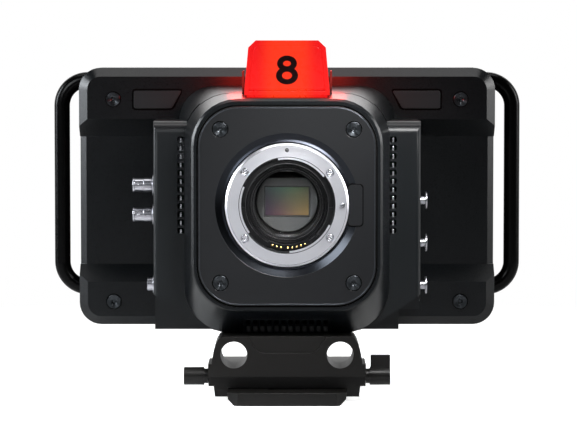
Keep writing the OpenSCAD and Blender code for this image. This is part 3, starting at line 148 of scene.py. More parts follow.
def pick(piece, test):
    """Selects the faces that pass a test of their middle and themselves, and counts them."""
    bpy.ops.object.mode_set(mode="OBJECT")
    faces = piece.data.polygons
    for face in faces:
        face.select = bool(test(face.center, face))
    count = sum(face.select for face in faces)
    bpy.ops.object.mode_set(mode="EDIT")
    return count


def close(piece):
    """Leaves edit mode."""
    bpy.ops.object.mode_set(mode="OBJECT")
    return piece


def apply_all(piece):
    """Applies every modifier of a piece, from the first to the last."""
    only(piece)
    for name in [m.name for m in piece.modifiers]:
        bpy.ops.object.modifier_apply(modifier=name)
    return piece


def round_edges(piece, width, segments=3):
    """Rounds the edges that turn by more than the corner angle."""
    bevel = piece.modifiers.new("edges", "BEVEL")
    bevel.width = width
    bevel.segments = segments
    bevel.limit_method = "ANGLE"
    bevel.angle_limit = CORNER_ANGLE
    bevel.miter_outer = "MITER_ARC"
    return apply_all(piece)


def smooth(piece):
    """Smooth shading that stays crisp at corners, with flat faces kept flat."""
    only(piece)
    bpy.ops.object.shade_smooth_by_angle(angle=CORNER_ANGLE)
    weighted = piece.modifiers.new("flat_faces", "WEIGHTED_NORMAL")
    weighted.keep_sharp = True
    weighted.weight = 80
    return apply_all(piece)


def weld(piece, outwards=True):
    """Merges double points, and turns the faces outwards."""
    edit(piece, whole=True)
    bpy.ops.mesh.remove_doubles(threshold=0.005 * MM)
    if outwards:
        bpy.ops.mesh.normals_make_consistent(inside=False)
    return close(piece)


def cut_out(piece, cutter):
    """Cuts a closed shape out of a piece, and removes the shape."""
    cut = piece.modifiers.new("cut", "BOOLEAN")
    cut.object = cutter
    cut.solver = "EXACT"
    apply_all(piece)
    bpy.data.objects.remove(cutter)


def cut_box(piece, place, size):
    """Cuts a box round a place out of a piece, its size in metres."""
    bpy.ops.mesh.primitive_cube_add(size=1, location=place)
    bpy.context.object.scale = size
    cut_out(piece, added("cutter"))


print("helpers are ready")

# %% [markdown]
# ## Castings: a copy of the frame's shape with real edges
# Housings, brackets and plates are machined or cast shapes whose form is fixed by what fits in
# them. Drawing them again would only add errors, so we copy the frame's mesh, weld its loose
# triangles, merge the flat ones into whole faces and round the edges. The frame's own node is
# then hidden, and our copy stands for it.

# %% Copies with rounded edges
FLAT_ANGLE = math.radians(0.6)
body_of_node = {node: body for body, nodes in frame["record"]["behaviour"]["bodies"].items()
                for node in nodes}


def cast_copy(node, width, name=None):
    """A copy of a CAD node with welded faces and rounded edges."""
    mesh = frame["nodes"][node].data.copy()
    piece = bpy.data.objects.new(name or node + "_cast", mesh)
    piece.data.name = piece.name
    bpy.context.scene.collection.objects.link(piece)
    only(piece)
    bpy.ops.mesh.customdata_custom_splitnormals_clear()
    weld(piece, outwards=False)
    edit(piece, whole=True)
    bpy.ops.mesh.dissolve_limited(angle_limit=FLAT_ANGLE)
    bpy.ops.mesh.vert_connect_concave()
    close(piece)
    if width:
        round_edges(piece, width)
    return smooth(piece)


def install(piece, node, material, stands_for=True):
    """Gives a piece its finish and makes it move with the node's body."""
    piece.data.materials.clear()
    piece.data.materials.append(material)
    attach(piece, body_of_node[node])
    if stands_for:
        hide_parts(node)
    return piece


# %% [markdown]
# ## Turned parts
# Screws, pins, sockets and rings are made on a lathe, and so are ours: one point is extruded
# along half of the part's outline, and the outline is spun round the part's axis. A spin is
# better than stacking cylinders, because the outline holds every step, lip and chamfer.

# %% A lathe
def lathe(name, outline, centre, axis="Y", steps=64):
    """Spins an outline of (radius, place along the axis), in mm, round a line through centre."""
    bpy.ops.mesh.primitive_plane_add(size=MM, location=(0, 0, 0))
    piece = added(name)
    along = Vector((1, 0, 0)) if axis == "X" else Vector((0, 1, 0))
    points = [centre + Vector((0, 0, r * MM)) + along * place * MM for r, place in outline]
    edit(piece, whole=True)
    bpy.ops.mesh.merge(type="CENTER")
    bpy.ops.transform.translate(value=points[0])
    for here, there in zip(points, points[1:]):
        bpy.ops.mesh.extrude_region_move(TRANSFORM_OT_translate={"value": there - here})
    bpy.ops.mesh.select_all(action="SELECT")
    bpy.ops.mesh.spin(steps=steps, angle=2 * math.pi, center=centre, axis=along)
    close(piece)
    return weld(piece)


def copies(piece, moves):
    """Copies a piece to each move and joins the copies into it."""
    made = [piece]
    for move in moves:
        twin = bpy.data.objects.new(piece.name + "_copy", piece.data.copy())
        bpy.context.scene.collection.objects.link(twin)
        twin.location = move
        only(twin)
        bpy.ops.object.transform_apply(location=True, rotation=False, scale=False)
        made.append(twin)
    return join(made)


def join(pieces):
    """Joins pieces into the first one."""
    only(pieces[0])
    for piece in pieces[1:]:
        piece.select_set(True)
    if len(pieces) > 1:
        bpy.ops.object.join()
    return pieces[0]


print("lathe is ready")

# %% [markdown]
# ## Finishes
# Most of this camera is black, and what tells its blacks apart is how they scatter light: a
# satin powder coat with a fine grain, a smoother front plate, a glossy enamel on the handles,
# a dead matt inside the mount. So each finish is a base colour, a roughness that wanders a
# little, and a very small bump. The noise is read in object coordinates, which are the
# camera's own metres, so the grain has one real size on every piece.

# %% A painted or moulded finish
NOISE_RANGE = (0.3, 0.7)


def linear(hex_colour):
    """A colour written as on the web, as the linear values that a shader wants."""
    values = [int(hex_colour[i:i + 2], 16) / 255 for i in (0, 2, 4)]
    return [v / 12.92 if v <= 0.04045 else ((v + 0.055) / 1.055) ** 2.4 for v in values] + [1]


def feed(tree, place, value):
    """Links an output to an input, or sets the input to a plain value."""
    if isinstance(value, bpy.types.NodeSocket):
        tree.links.new(value, place)
    else:
        place.default_value = value


def maths(tree, operation, *values):
    """A maths node, fed with outputs or plain numbers."""
    node = tree.nodes.new("ShaderNodeMath")
    node.operation = operation
    for place, value in zip(node.inputs, values):
        feed(tree, place, value)
    return node.outputs[0]


def mixed(tree, factor, first, second):
    """Two colours mixed by a factor."""
    node = tree.nodes.new("ShaderNodeMix")
    node.data_type = "RGBA"
    for key, value in (("Factor", factor), ("A", first), ("B", second)):
        feed(tree, node.inputs[key], value)
    return node.outputs["Result"]


def scaled(colour, by):
    """A linear colour made darker or lighter."""
    return [value * by for value in colour[:3]] + [1]


def ranged(tree, value, source, target=(0, 1), kind="LINEAR"):
    """A value stretched from one range to another, and held inside it."""
    node = tree.nodes.new("ShaderNodeMapRange")
    node.interpolation_type = kind
    for place, number in zip(("From Min", "From Max", "To Min", "To Max"), (*source, *target)):
        node.inputs[place].default_value = number
    tree.links.new(value, node.inputs["Value"])
    return node.outputs[0]


class Finish:
    """A material that is being put together, with the last few steps that all of them share."""

    def __init__(self, name):
        self.material = bpy.data.materials.new(name)
        self.material.use_nodes = True
        self.tree = self.material.node_tree
        self.tree.nodes.clear()
        self.out = self.add("ShaderNodeOutputMaterial")
        self.shader = self.add("ShaderNodeBsdfPrincipled")
        self.link(self.shader.outputs[0], self.out.inputs["Surface"])
        self.where = self.add("ShaderNodeTexCoord").outputs["Object"]

    def add(self, kind, **inputs):
        node = self.tree.nodes.new(kind)
        for key, value in inputs.items():
            node.inputs[key.replace("_", " ")].default_value = value
        return node

    def link(self, a, b):
        self.tree.links.new(a, b)

    def noise(self, size, detail=3):
        """Noise whose blobs are about size metres wide."""
        node = self.add("ShaderNodeTexNoise", Scale=1 / size, Detail=detail, Roughness=0.6)
        self.link(self.where, node.inputs["Vector"])
        return node.outputs["Fac"]

    def spread(self, value, low, high):
        """Noise, which mostly stays near its middle, stretched between two values."""
        return ranged(self.tree, value, NOISE_RANGE, (low, high))

    def shade(self, **values):
        """Feeds the shader's inputs, with _ for each space in their names."""
        for key, value in values.items():
            feed(self.tree, self.shader.inputs[key.replace("_", " ")], value)

    def blend(self, factor, dark, light):
        """Two colours mixed by a factor."""
        return mixed(self.tree, factor, dark, light)

    def bump(self, height, depth):
        """Pushes the surface out by up to depth metres."""
        node = self.add("ShaderNodeBump", Strength=1, Distance=depth)
        if self.shader.inputs["Normal"].links:
            self.link(self.shader.inputs["Normal"].links[0].from_socket, node.inputs["Normal"])
        self.link(height, node.inputs["Height"])
        self.link(node.outputs[0], self.shader.inputs["Normal"])


def coated(name, colour, rough, grain=0.35 * MM, depth=0.004 * MM, specular=0.4, vary=0.05,
           coat=0):
    """A black that scatters light: paint, powder coat, anodising or moulded plastic."""
    f = Finish(name)
    base = linear(colour)
    clouds = f.noise(22 * MM, 2)
    fine = f.noise(grain, 4)
    f.shade(Base_Color=f.blend(clouds, scaled(base, 0.86), scaled(base, 1.14)),
            Roughness=f.spread(fine, rough - vary, rough + vary), Specular_IOR_Level=specular,
            Coat_Weight=coat, Coat_Roughness=0.08)
    f.bump(fine, depth)
    return f.material


def metal(name, colour, rough, grain=0.2 * MM, depth=0.001 * MM, vary=0.06):
    """Bare or plated metal with a fine grain."""
    f = Finish(name)
    base = linear(colour)
    fine = f.noise(grain, 3)
    clouds = f.noise(9 * MM, 2)
    f.shade(Base_Color=f.blend(clouds, scaled(base, 0.9), base), Metallic=1,
            Roughness=f.spread(fine, rough - vary, rough + vary))
    f.bump(fine, depth)
    return f.material


def turned_face(name, colour, rough, metallic, pitch=0.3 * MM):
    """Spun metal, whose fine circular grooves stretch each highlight along the radius."""
    f = Finish(name)
    base = linear(colour)
    uv = f.add("ShaderNodeUVMap")
    uv.uv_map = "turning"
    split = f.add("ShaderNodeSeparateXYZ")
    f.link(uv.outputs[0], split.inputs[0])
    grooves = maths(f.tree, "MULTIPLY", split.outputs["X"], MM / pitch)
    clouds = f.noise(3 * MM)
    tangent = f.add("ShaderNodeTangent")
    tangent.direction_type = "UV_MAP"
    tangent.uv_map = "turning"
    f.shade(Base_Color=f.blend(clouds, scaled(base, 0.8), base), Metallic=metallic,
            Roughness=f.spread(clouds, rough - 0.03, rough + 0.03), Anisotropic=0.85,
            Tangent=tangent.outputs[0])
    f.bump(maths(f.tree, "PINGPONG", grooves, 0.5), 0.004 * MM)
    return f.material


def turning_map(piece, centres):
    """A UV map of radius and angle round the nearest of some centres, in mm and turns."""
    layer = piece.data.uv_layers.new(name="turning")
    for face in piece.data.polygons:
        middle = face.center
        hub = min(centres, key=lambda c: (c - middle).length)
        facing = math.atan2(middle.z - hub.z, middle.x - hub.x)
        for loop in face.loop_indices:
            spot = piece.data.vertices[piece.data.loops[loop].vertex_index].co - hub
            radius = math.hypot(spot.x, spot.z)
            angle = math.atan2(spot.z, spot.x) if radius > 0.01 * MM else facing
            angle = facing + (angle - facing + math.pi) % (2 * math.pi) - math.pi
            layer.data[loop].uv = (radius / MM, angle * 8)
    return piece


spun_finish = turned_face("spun_black_screw", "373a3d", 0.28, 0.9)
polished_finish = turned_face("turned_steel_screw", "d8d8de", 0.25, 1)
# A paler black for the throat's ribs: a painted highlight along each step's edge.
rib_highlight_finish = coated("throat_rib_edge", "1a1a1b", 0.3, grain=0.1 * MM, depth=0)
pin_finish = metal("pin_steel", "8a8c90", 0.3)
inner_finish = coated("throat_semi_gloss", "040405", 0.36, grain=0.1 * MM, depth=0.0005 * MM,
                      specular=0.2)
body_finish = coated("body_powder_coat", "06080a", 0.3, specular=0.22)
cover_finish = coated("microphone_cover_satin", "0f1315", 0.36, specular=0.36)
module_finish = coated("module_powder_coat", "0b0e10", 0.32, specular=0.29)
plate_finish = coated("plate_satin", "090a0c", 0.34, grain=0.22 * MM, depth=0.0015 * MM,
                      specular=0.33)
bracket_finish = coated("bracket_anodised", "0e0d0c", 0.36, grain=0.15 * MM, depth=0.002 * MM,
                        specular=0.18)
# Dead black laid in the gaps round the screws, the plate, the button and the covers: painted
# shade.
gap_shade_finish = coated("gap_painted_shade", "020202", 0.75, grain=0.1 * MM, depth=0, specular=0.04)
matt_finish = coated("throat_matt_black", "0c0c0c", 0.6, grain=0.1 * MM, specular=0.25)
enamel_finish = coated("handle_enamel", "020202", 0.24, depth=0.0005 * MM, specular=0.09)
rubber_finish = coated("control_rubber", "101112", 0.62, grain=0.12 * MM, depth=0.003 * MM)
board_finish = coated("board_mask", "123a28", 0.38, specular=0.5)
ceramic_finish = coated("chip_ceramic", "747676", 0.5)
display_finish = coated("display_panel", "0c0e12", 0.3)
mount_finish = metal("mount_chrome", "ebebf1", 0.31, depth=0.0002 * MM, vary=0.02)


def darkened_circle(material, radius, width, colour):
    """Darkens a thin circle round the lens axis in the given colour."""
    tree = material.node_tree
    shader = next(n for n in tree.nodes if n.type == "BSDF_PRINCIPLED")
    where = next(n for n in tree.nodes if n.type == "TEX_COORD").outputs["Object"]
    flat = tree.nodes.new("ShaderNodeVectorMath")
    flat.operation = "MULTIPLY_ADD"
    flat.inputs[1].default_value = (1, 0, 1)
    flat.inputs[2].default_value = (0, 0, -AXIS_Z)
    tree.links.new(where, flat.inputs[0])
    length = tree.nodes.new("ShaderNodeVectorMath")
    length.operation = "LENGTH"
    tree.links.new(flat.outputs[0], length.inputs[0])
    near = maths(tree, "COMPARE", length.outputs["Value"], radius * MM, width / 2 * MM)
    before = shader.inputs["Base Color"].links[0].from_socket
    feed(tree, shader.inputs["Base Color"], mixed(tree, near, before, linear(colour)))


# Painted shade: a dark line where the ring steps down at 27 mm.
darkened_circle(mount_finish, 27.0, 0.35, "3a3a3e")
darkened_circle(mount_finish, 33.45, 0.2, "86868e")
insulator_finish = coated("socket_insulator", "d9d6cc", 0.45)
# A paler metal for the plate's edge: a painted highlight.
edge_highlight_finish = metal("plate_edge_painted_highlight", "4a4d52", 0.3, depth=0.0005 * MM)
bowl_finish = metal("turned_bowl", "2b2d31", 0.18, depth=0.0005 * MM, vary=0.03)
steel_finish = metal("bright_steel", "c4c6ca", 0.28)
sink_finish = metal("sink_aluminium", "a9adb0", 0.42)
nickel_finish = metal("connector_nickel", "a6a6ac", 0.27)
gold_finish = metal("contact_gold", "ecc878", 0.22)
print("finishes so far:", len(bpy.data.materials))

# %% [markdown]
# ## Glass, sensor and lamp
# A filter is clear glass that tints what is behind it. The sensor is a flat chip that splits
# light into colours, like oil on water, which we paint as a smooth run of colours across it. The
# chip also glows faintly in these colours, a painted glow that shows it in the dark mount.
# The tally lens is a red plastic cap lit from inside, so it glows and also lights its
# neighbours.

# %% Clear and glowing finishes
def glass(name, colour, rough=0.02):
    """Clear glass with a tint and a faint haze."""
    f = Finish(name)
    haze = f.noise(6 * MM, 2)
    base = linear(colour)
    f.shade(Base_Color=f.blend(haze, scaled(base, 0.94), base), Transmission_Weight=1, IOR=1.2,
            Roughness=f.spread(haze, rough, rough * 2))
    clear = f.add("ShaderNodeBsdfTransparent", Color=base)
    path = f.add("ShaderNodeLightPath")
    mix = f.add("ShaderNodeMixShader")
    f.link(path.outputs["Is Shadow Ray"], mix.inputs["Fac"])
    f.link(f.shader.outputs[0], mix.inputs[1])
    f.link(clear.outputs[0], mix.inputs[2])
    f.link(mix.outputs[0], f.out.inputs["Surface"])
    return f.material


def sensor_colours_and_glow(name, low, high):
    """A run of soft colours from the chip's lower left to its upper right corner, which also glow
    faintly: a painted glow.
    """
    f = Finish(name)
    mapping = f.add("ShaderNodeMapping")
    size = high - low
    mapping.inputs["Location"].default_value = (-low.x / size.x, 0, -low.z / size.z)
    mapping.inputs["Scale"].default_value = (1 / size.x, 0, 1 / size.z)
    f.link(f.where, mapping.inputs["Vector"])
    split = f.add("ShaderNodeSeparateXYZ")
    f.link(mapping.outputs[0], split.inputs[0])
    ramps = []
    for colours in (("4e3f58", "7d5a63", "9b7f5c", "a98b56"),
                    ("43474f", "456a5c", "5c7a58", "67715a")):
        ramp = f.add("ShaderNodeValToRGB")
        ramp.color_ramp.interpolation = "B_SPLINE"
        for i, colour in enumerate(colours):
            place = i / (len(colours) - 1)
            stops = ramp.color_ramp.elements
            stop = stops[i] if i < 2 else stops.new(place)
            stop.position = place
            stop.color = linear(colour)
        f.link(split.outputs["X"], ramp.inputs["Fac"])
        ramps.append(ramp.outputs["Color"])
    run = mixed(f.tree, split.outputs["Z"], *ramps)
    # Painted glow: the chip gives off a faint light in its own colours.
    f.shade(Base_Color=run, Emission_Color=run, Emission_Strength=0.22, Roughness=0.25)
    f.bump(f.noise(0.12 * MM, 1), 0.0005 * MM)
    return f.material


def lamp(name, colours, strength, low, high):
    """Red plastic lit from inside: redder at its top and its sides, orange round the middle."""
    top, foot, heart = [linear(colour) for colour in colours]
    f = Finish(name)
    split = f.add("ShaderNodeSeparateXYZ")
    f.link(f.where, split.inputs[0])
    shell = f.blend(ranged(f.tree, split.outputs["Z"], (low.z, high.z)), foot, top)
    away = maths(f.tree, "ABSOLUTE", split.outputs["X"])
    side = ranged(f.tree, away, (high.x * 0.3, high.x * 0.75), kind="SMOOTHSTEP")
    f.shade(Base_Color=linear("3c0504"), Specular_IOR_Level=0.12,
            Emission_Color=f.blend(side, heart, shell), Emission_Strength=strength,
            Roughness=f.spread(f.noise(3 * MM), 0.25, 0.32))
    return f.material


clear_finish = glass("sensor_glass", "e6e6e6")
grey_finish = glass("filter_grey", "8a8f92")
dark_finish = glass("filter_dark", "4a4e52")
chip_finish = sensor_colours_and_glow("sensor_iridescence_and_painted_glow", *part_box("sensor_chip"))
lens_low, lens_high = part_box("tally_lens")
lamp_finish = lamp("tally_lamp", ("ea1418", "f41c1a", "fc381a"), 1.0, lens_low, lens_high)
number_finish = coated("number_black", "0a0102", 0.7, specular=0.04)
record_finish = coated("record_red", "a01410", 0.4)
screen_finish = coated("screen_glass_black", "050506", 0.08, depth=0, specular=0.6, coat=1)
print("finishes now:", len(bpy.data.materials))

# %% [markdown]
# ## The castings
# Each line of the table names a node, its slot, its finish and the radius of its edges in mm.
# A cast housing has edges of almost a millimetre, and a pressed or cut part is sharper.

# %% Castings of the body
CASTINGS = {
    "nose_shell": ("body_casting", body_finish, 0.8),
    "module_shell": ("body_casting", module_finish, 0.3),
    "rear_housing": ("body_casting", body_finish, 0.9),
    "rear_cover": ("body_casting", body_finish, 0.5),
    "tally_base": ("body_casting", body_finish, 0.15),
    "bottom_grille": ("body_casting", module_finish, 0.2),
    "front_plate": ("front_plate", plate_finish, 0.9),
    "lens_release_button": ("front_plate", plate_finish, 0.8),
    "contact_block": ("throat_black", inner_finish, 0.2),
    "sensor_filter": ("filter_glass", clear_finish, 0.1),
    "sensor_chip": ("sensor", chip_finish, 0.05),
    "sensor_package": ("sensor_ceramic", ceramic_finish, 0.2),
    "sensor_frame": ("throat_black", matt_finish, 0.2),
    "side_vent_fins": ("steel", steel_finish, 0.2),
    "sdi_centre_pins": ("contacts", gold_finish, 0.1),
    "dc_socket": ("connector_metal", nickel_finish, 0.15),
    "ethernet_jack": ("connector_metal", nickel_finish, 0.15),
    "xlr_sockets": ("socket_black", matt_finish, 0.2),
    "xlr_release_top": ("connector_metal", nickel_finish, 0.15),
    "xlr_release_middle": ("connector_metal", nickel_finish, 0.15),
    "xlr_release_bottom": ("connector_metal", nickel_finish, 0.15),
    "lcd_panel": ("display", display_finish, 0.3),
    "screen_glass": ("screen_glass", screen_finish, 0.25),
    "mic_cover_left": ("front_plate", cover_finish, 0.6),
    "mic_cover_right": ("front_plate", cover_finish, 0.6),
    "handle_left": ("handle_tube", enamel_finish, 0.2),
    "handle_right": ("handle_tube", enamel_finish, 0.2),
    "tally_number": ("tally_number", number_finish, 0.05),
    "menu_button": ("control_rubber", rubber_finish, 0.3),
    "function_button": ("control_rubber", rubber_finish, 0.3),
    "record_button": ("record_red", record_finish, 0.3),
    "rod_bracket": ("bracket_metal", bracket_finish, 0.5),
    "dovetail_plate": ("bracket_metal", bracket_finish, 0.4),
    "rod_clamp_knob": ("bracket_metal", bracket_finish, 0.3),
    "plate_clamp_knob": ("bracket_metal", bracket_finish, 0.3),
}
for node, (slot, material, edge) in CASTINGS.items():
    copy = install(cast_copy(node, edge * MM), node, material)
    print(node, len(copy.data.polygons), "faces")

# %% [markdown]
# ## Spun screws
# Eight large screws hold the plate and the housing. Their heads are black and turned, with a
# dimple in the middle, and each shows a bow tie of light, because light spreads across the fine
# grooves and not along them. The grooves are in the finish. The shape is one turned head,
# copied to each hole.

# %% Spun screws
HEAD = [(0, 1.5), (0.8, 1.5), (1.0, 1.1), (1.4, 0.5), (1.9, 0.2), (3.9, 0.05), (4.25, 0.4),
        (4.25, 2.7), (0, 2.7)]
HEAD_INSET = 4.6
HEAD_GAP_SHADE = [(4.2, 0.22), (4.85, 0.22), (4.85, 0.6), (4.2, 0.6), (4.2, 0.22)]


def spun_screws(node, depth, half_w, high, low):
    """Four turned heads at plus and minus half_w, at the two heights."""
    places = [(x, h) for h in (high, low) for x in (-half_w, half_w)]
    centres = [at(x, depth, h) for x, h in places]
    head = lathe(node + "_turned", HEAD, centres[0], steps=48)
    head = copies(head, [c - centres[0] for c in centres[1:]])
    smooth(round_edges(head, 0.12 * MM, 2))
    turning_map(head, centres)
    # A dead black ring round each head is painted shade of the gap round it.
    gap_shade_rings = lathe(node + "_gaps", HEAD_GAP_SHADE, centres[0], steps=48)
    gap_shade_rings = smooth(copies(gap_shade_rings, [c - centres[0] for c in centres[1:]]))
    install(gap_shade_rings, node, gap_shade_finish, stands_for=False)
    return install(head, node, spun_finish)


for node, slot in (("front_plate_screws", "front_plate"), ("housing_screws", "body_casting")):
    low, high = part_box(node)
    half_w = (high.x - low.x) / 2 / MM - HEAD_INSET
    top_h = (high.z - AXIS_Z) / MM - HEAD_INSET
    low_h = (low.z - AXIS_Z) / MM + HEAD_INSET
    spun_screws(node, depth_of(low.y), half_w, top_h, low_h)
    print(node, "at", round(half_w, 1), round(top_h, 1), round(low_h, 1))

# %% [markdown]
# ## The lens mount
# The ring is turned and chromed, and three tabs inside it hold the lens. Four small screws with
# a cross slot hold the ring, and a dot at the top shows where a lens goes in. The frame's ring
# gets two darker circles in its colour, the one at 27 mm painted shade along a step, and the
# screws and the dot are modelled here.

# %% Mount ring, its screws and its dot
MOUNT_CENTRE = at(0, 0, 0)
ring = cast_copy("lens_mount_ring", 0.25 * MM)
install(ring, "lens_mount_ring", mount_finish)

RING_SCREW_R, RING_PITCH_R = 2.15, 30.1
SCREW_ANGLES = (37, 142, 218, 323)
SMALL_HEAD = [(0, 0.5), (RING_SCREW_R * 0.9, 0.5), (RING_SCREW_R, 0.75), (RING_SCREW_R, 2.2),
              (0, 2.2)]
screw_centres = [around(RING_PITCH_R, -0.25, angle) for angle in SCREW_ANGLES]


def cross_slot(piece, centre, size, width, depth):
    """Cuts a cross of two slots into the face of a head."""
    for w, h in ((size, width), (width, size)):
        cut_box(piece, centre, (w * MM, depth * 2 * MM, h * MM))


head = lathe("mount_ring_screws_turned", SMALL_HEAD, screw_centres[0], steps=40)
cross_slot(head, screw_centres[0] + Vector((0, 0.5 * MM, 0)), 2.8, 0.55, 0.6)
head = copies(head, [c - screw_centres[0] for c in screw_centres[1:]])
smooth(round_edges(head, 0.06 * MM, 2))
turning_map(head, screw_centres)
install(head, "mount_ring_screws", polished_finish)

DOT = [(0, 0.05), (0.45, 0.05), (0.6, 0.12), (0.75, -0.02), (1.05, -0.02), (1.15, 0.1),
       (1.15, 0.4), (0, 0.4)]
dot_centre = at(0, -0.08, 30.9)
dot = smooth(lathe("mount_index_dot", DOT, dot_centre, steps=32))
install(dot, "lens_mount_ring", inner_finish, stands_for=False)
print("mount pieces done")

# %% [markdown]
# ## Round the sensor
# Inside the mount the walls step down to the sensor window, with thin ribs that keep stray light
# off it. Each rib is a small ring in a paler black at a step's edge: its bevel catches a line of
# light, and its paler colour is a painted highlight. The eight contacts and the pin that locks a
# lens are turned here too.

# %% Throat, ribs and contacts
throat_low, throat_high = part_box("mount_throat")
throat_front = depth_of(throat_low.y)
throat_long = depth_of(throat_high.y) - throat_front
THROAT = [(26.85, 0), (26.85, 5.2), (22.4, 5.4), (21.6, 7.2), (19.3, throat_long),
          (18.6, throat_long), (18.6, throat_long - 1.0),
          (19.6, throat_long - 1.2), (19.6, 8.6), (19.9, 8.3), (20.9, 8.3),
          (21.1, 8.1), (21.1, 5.0), (21.4, 4.7), (22.4, 4.7), (22.6, 4.5), (22.6, 0.5), (23.0, 0),
          (26.85, 0)]
throat = lathe("mount_throat_turned", THROAT, at(0, throat_front, 0), steps=128)
RECESS_PITCH_R = 24.8
RECESS_SIZE = Vector((2.4, 1.8, 2.4)) * MM
for angle in (0, 90, 180):
    cut_box(throat, around(RECESS_PITCH_R, throat_front, angle), RECESS_SIZE)
smooth(throat)
install(throat, "mount_throat", inner_finish)

# Each rib ring is paler than the throat, a painted highlight at a step's edge.
RIBS = ((26.3, -0.28, 0.4, 0.5), (23.1, -0.2, 0.35, 0.4), (20.0, 8.0, 0.45, 0.5),
        (18.75, throat_long - 1.3, 0.6, 0.5))
for number, (radius, depth, width, length) in enumerate(RIBS):
    rib = [(radius, depth), (radius + width, depth), (radius + width, depth + length),
           (radius, depth + length), (radius, depth)]
    piece = lathe("throat_rib_%d" % number, rib, at(0, throat_front, 0), steps=128)
    smooth(round_edges(piece, 0.1 * MM, 2))
    install(piece, "mount_throat", rib_highlight_finish, stands_for=False)

PIN = [(0, -0.62), (0.3, -0.56), (0.5, -0.4), (0.58, -0.15), (0.58, 0.3), (0, 0.3)]
PIN_ANGLES = (250, 256, 262, 271, 277, 283, 289, 295)
PIN_PITCH_R = 23.93
pins_back = depth_of(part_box("contact_pins")[1].y)
pin_centres = [around(PIN_PITCH_R, pins_back, angle) for angle in PIN_ANGLES]
pins = lathe("contact_pins_domed", PIN, pin_centres[0], steps=24)
pins = smooth(copies(pins, [c - pin_centres[0] for c in pin_centres[1:]]))
install(pins, "contact_pins", gold_finish)

lock_low, lock_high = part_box("lens_lock_pin")
lock_centre = Vector(((lock_low.x + lock_high.x) / 2, lock_low.y, (lock_low.z + lock_high.z) / 2))
lock_length = (lock_high.y - lock_low.y) / MM
LOCK = [(0, 0.25), (0.35, 0.2), (0.55, 0.0), (0.95, 0.0), (1.2, 0.15), (1.35, 0.5),
        (1.35, lock_length), (0, lock_length)]
lock = smooth(lathe("lens_lock_pin_turned", LOCK, lock_centre, steps=36))
install(lock, "lens_lock_pin", pin_finish)
print("throat", round(throat_long, 1), "mm deep")

# %% [markdown]
# ## Mask round the sensor
# A pale disc closes the space between the throat and the chip. It is a filled circle, cut
# straight at its top and thickened, with a window a little larger than the chip.

# %% Mask round the sensor
MASK_DEPTH = 41.3
MASK_RADIUS = 17.3
MASK_TOP = 13.6
WINDOW_MARGIN = 0.8
bpy.ops.mesh.primitive_circle_add(vertices=96, radius=MASK_RADIUS * MM, fill_type="NGON",
                                  location=at(0, MASK_DEPTH, 0), rotation=(math.pi / 2, 0, 0))
mask = added("sensor_mask")
edit(mask, whole=True)
bpy.ops.mesh.bisect(plane_co=at(0, 0, MASK_TOP), plane_no=(0, 0, 1), clear_outer=True)
bpy.ops.mesh.select_all(action="SELECT")
bpy.ops.mesh.extrude_region_move(TRANSFORM_OT_translate={"value": (0, 0.4 * MM, 0)})
close(mask)
weld(mask)
chip_low, chip_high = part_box("sensor_chip")
chip_size = chip_high - chip_low
margin = 2 * WINDOW_MARGIN * MM
cut_box(mask, (chip_low + chip_high) / 2, (chip_size.x + margin, 12 * MM, chip_size.z + margin))
smooth(round_edges(mask, 0.1 * MM, 2))
install(mask, "sensor_frame", ceramic_finish, stands_for=False)
print("mask", len(mask.data.polygons), "faces")

# %% [markdown]
# ## Bowl round the mount
# The plate dips towards the mount as a shallow turned cone, which reflects in a ring. It is
# open at the right, where the release button sits.

# %% Bowl round the mount
BUTTON_PLACE = (39, 3, 0)
BUTTON_OPENING = Vector((10, 10, 23.5)) * MM
BOWL = [(40.4, 1.9), (35.5, 3.8), (35.5, 4.2), (40.4, 2.6), (40.4, 1.9)]
bowl = lathe("mount_bowl", BOWL, MOUNT_CENTRE, steps=160)
cut_box(bowl, at(*BUTTON_PLACE), BUTTON_OPENING)
smooth(bowl)
install(bowl, "front_plate", bowl_finish, stands_for=False)
print("bowl", len(bowl.data.polygons), "faces")

# %% [markdown]
# ## Gaps between the front pieces
# Two pieces that meet are told apart by the dark line between them. The shade in a gap is
# painted as a thin black frame that follows the outline of a piece, and the plate's edge gets a
# paler metal frame, a painted highlight.

# %% Painted shade round the plate and the release button, and a painted edge highlight
GROOVE_WIDTH = 1.4
EDGE_INSET = 0.45
EDGE_WIDTH = 0.5
BUTTON_CORNER = 2.2
BUTTON_GAP = 1.0


def frame_of(name, size, corner, width, front, back, centre):
    """A rounded rectangle of the given width, between two depths, all in mm."""
    bpy.ops.mesh.primitive_plane_add(size=1, location=centre, rotation=(math.pi / 2, 0, 0))
    piece = bpy.context.object
    piece.scale = (size[0] * MM, size[1] * MM, 1)
    piece = added(name)
    edit(piece, whole=True)
    bpy.ops.mesh.bevel(affect="VERTICES", offset=corner * MM, segments=14, profile=0.5)
    bpy.ops.mesh.select_all(action="SELECT")
    bpy.ops.mesh.inset(thickness=width * MM)
    bpy.ops.mesh.delete(type="FACE")
    bpy.ops.mesh.select_all(action="SELECT")
    bpy.ops.transform.translate(value=(0, FLANGE_Y + front * MM - centre.y, 0))
    bpy.ops.mesh.extrude_region_move(
        TRANSFORM_OT_translate={"value": (0, (back - front) * MM, 0)})
    close(piece)
    return weld(piece)


plate_low, plate_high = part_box("front_plate")
plate_size = ((plate_high.x - plate_low.x) / MM, (plate_high.z - plate_low.z) / MM)
plate_front = depth_of(plate_low.y)
nose_front = depth_of(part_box("nose_shell")[0].y)
plate_middle = (plate_low + plate_high) / 2
edge_tops = [v.co.z for v in frame["nodes"]["front_plate"].data.vertices
             if plate_high.x - v.co.x < 0.05 * MM]
plate_corner = (plate_high.z - max(edge_tops)) / MM
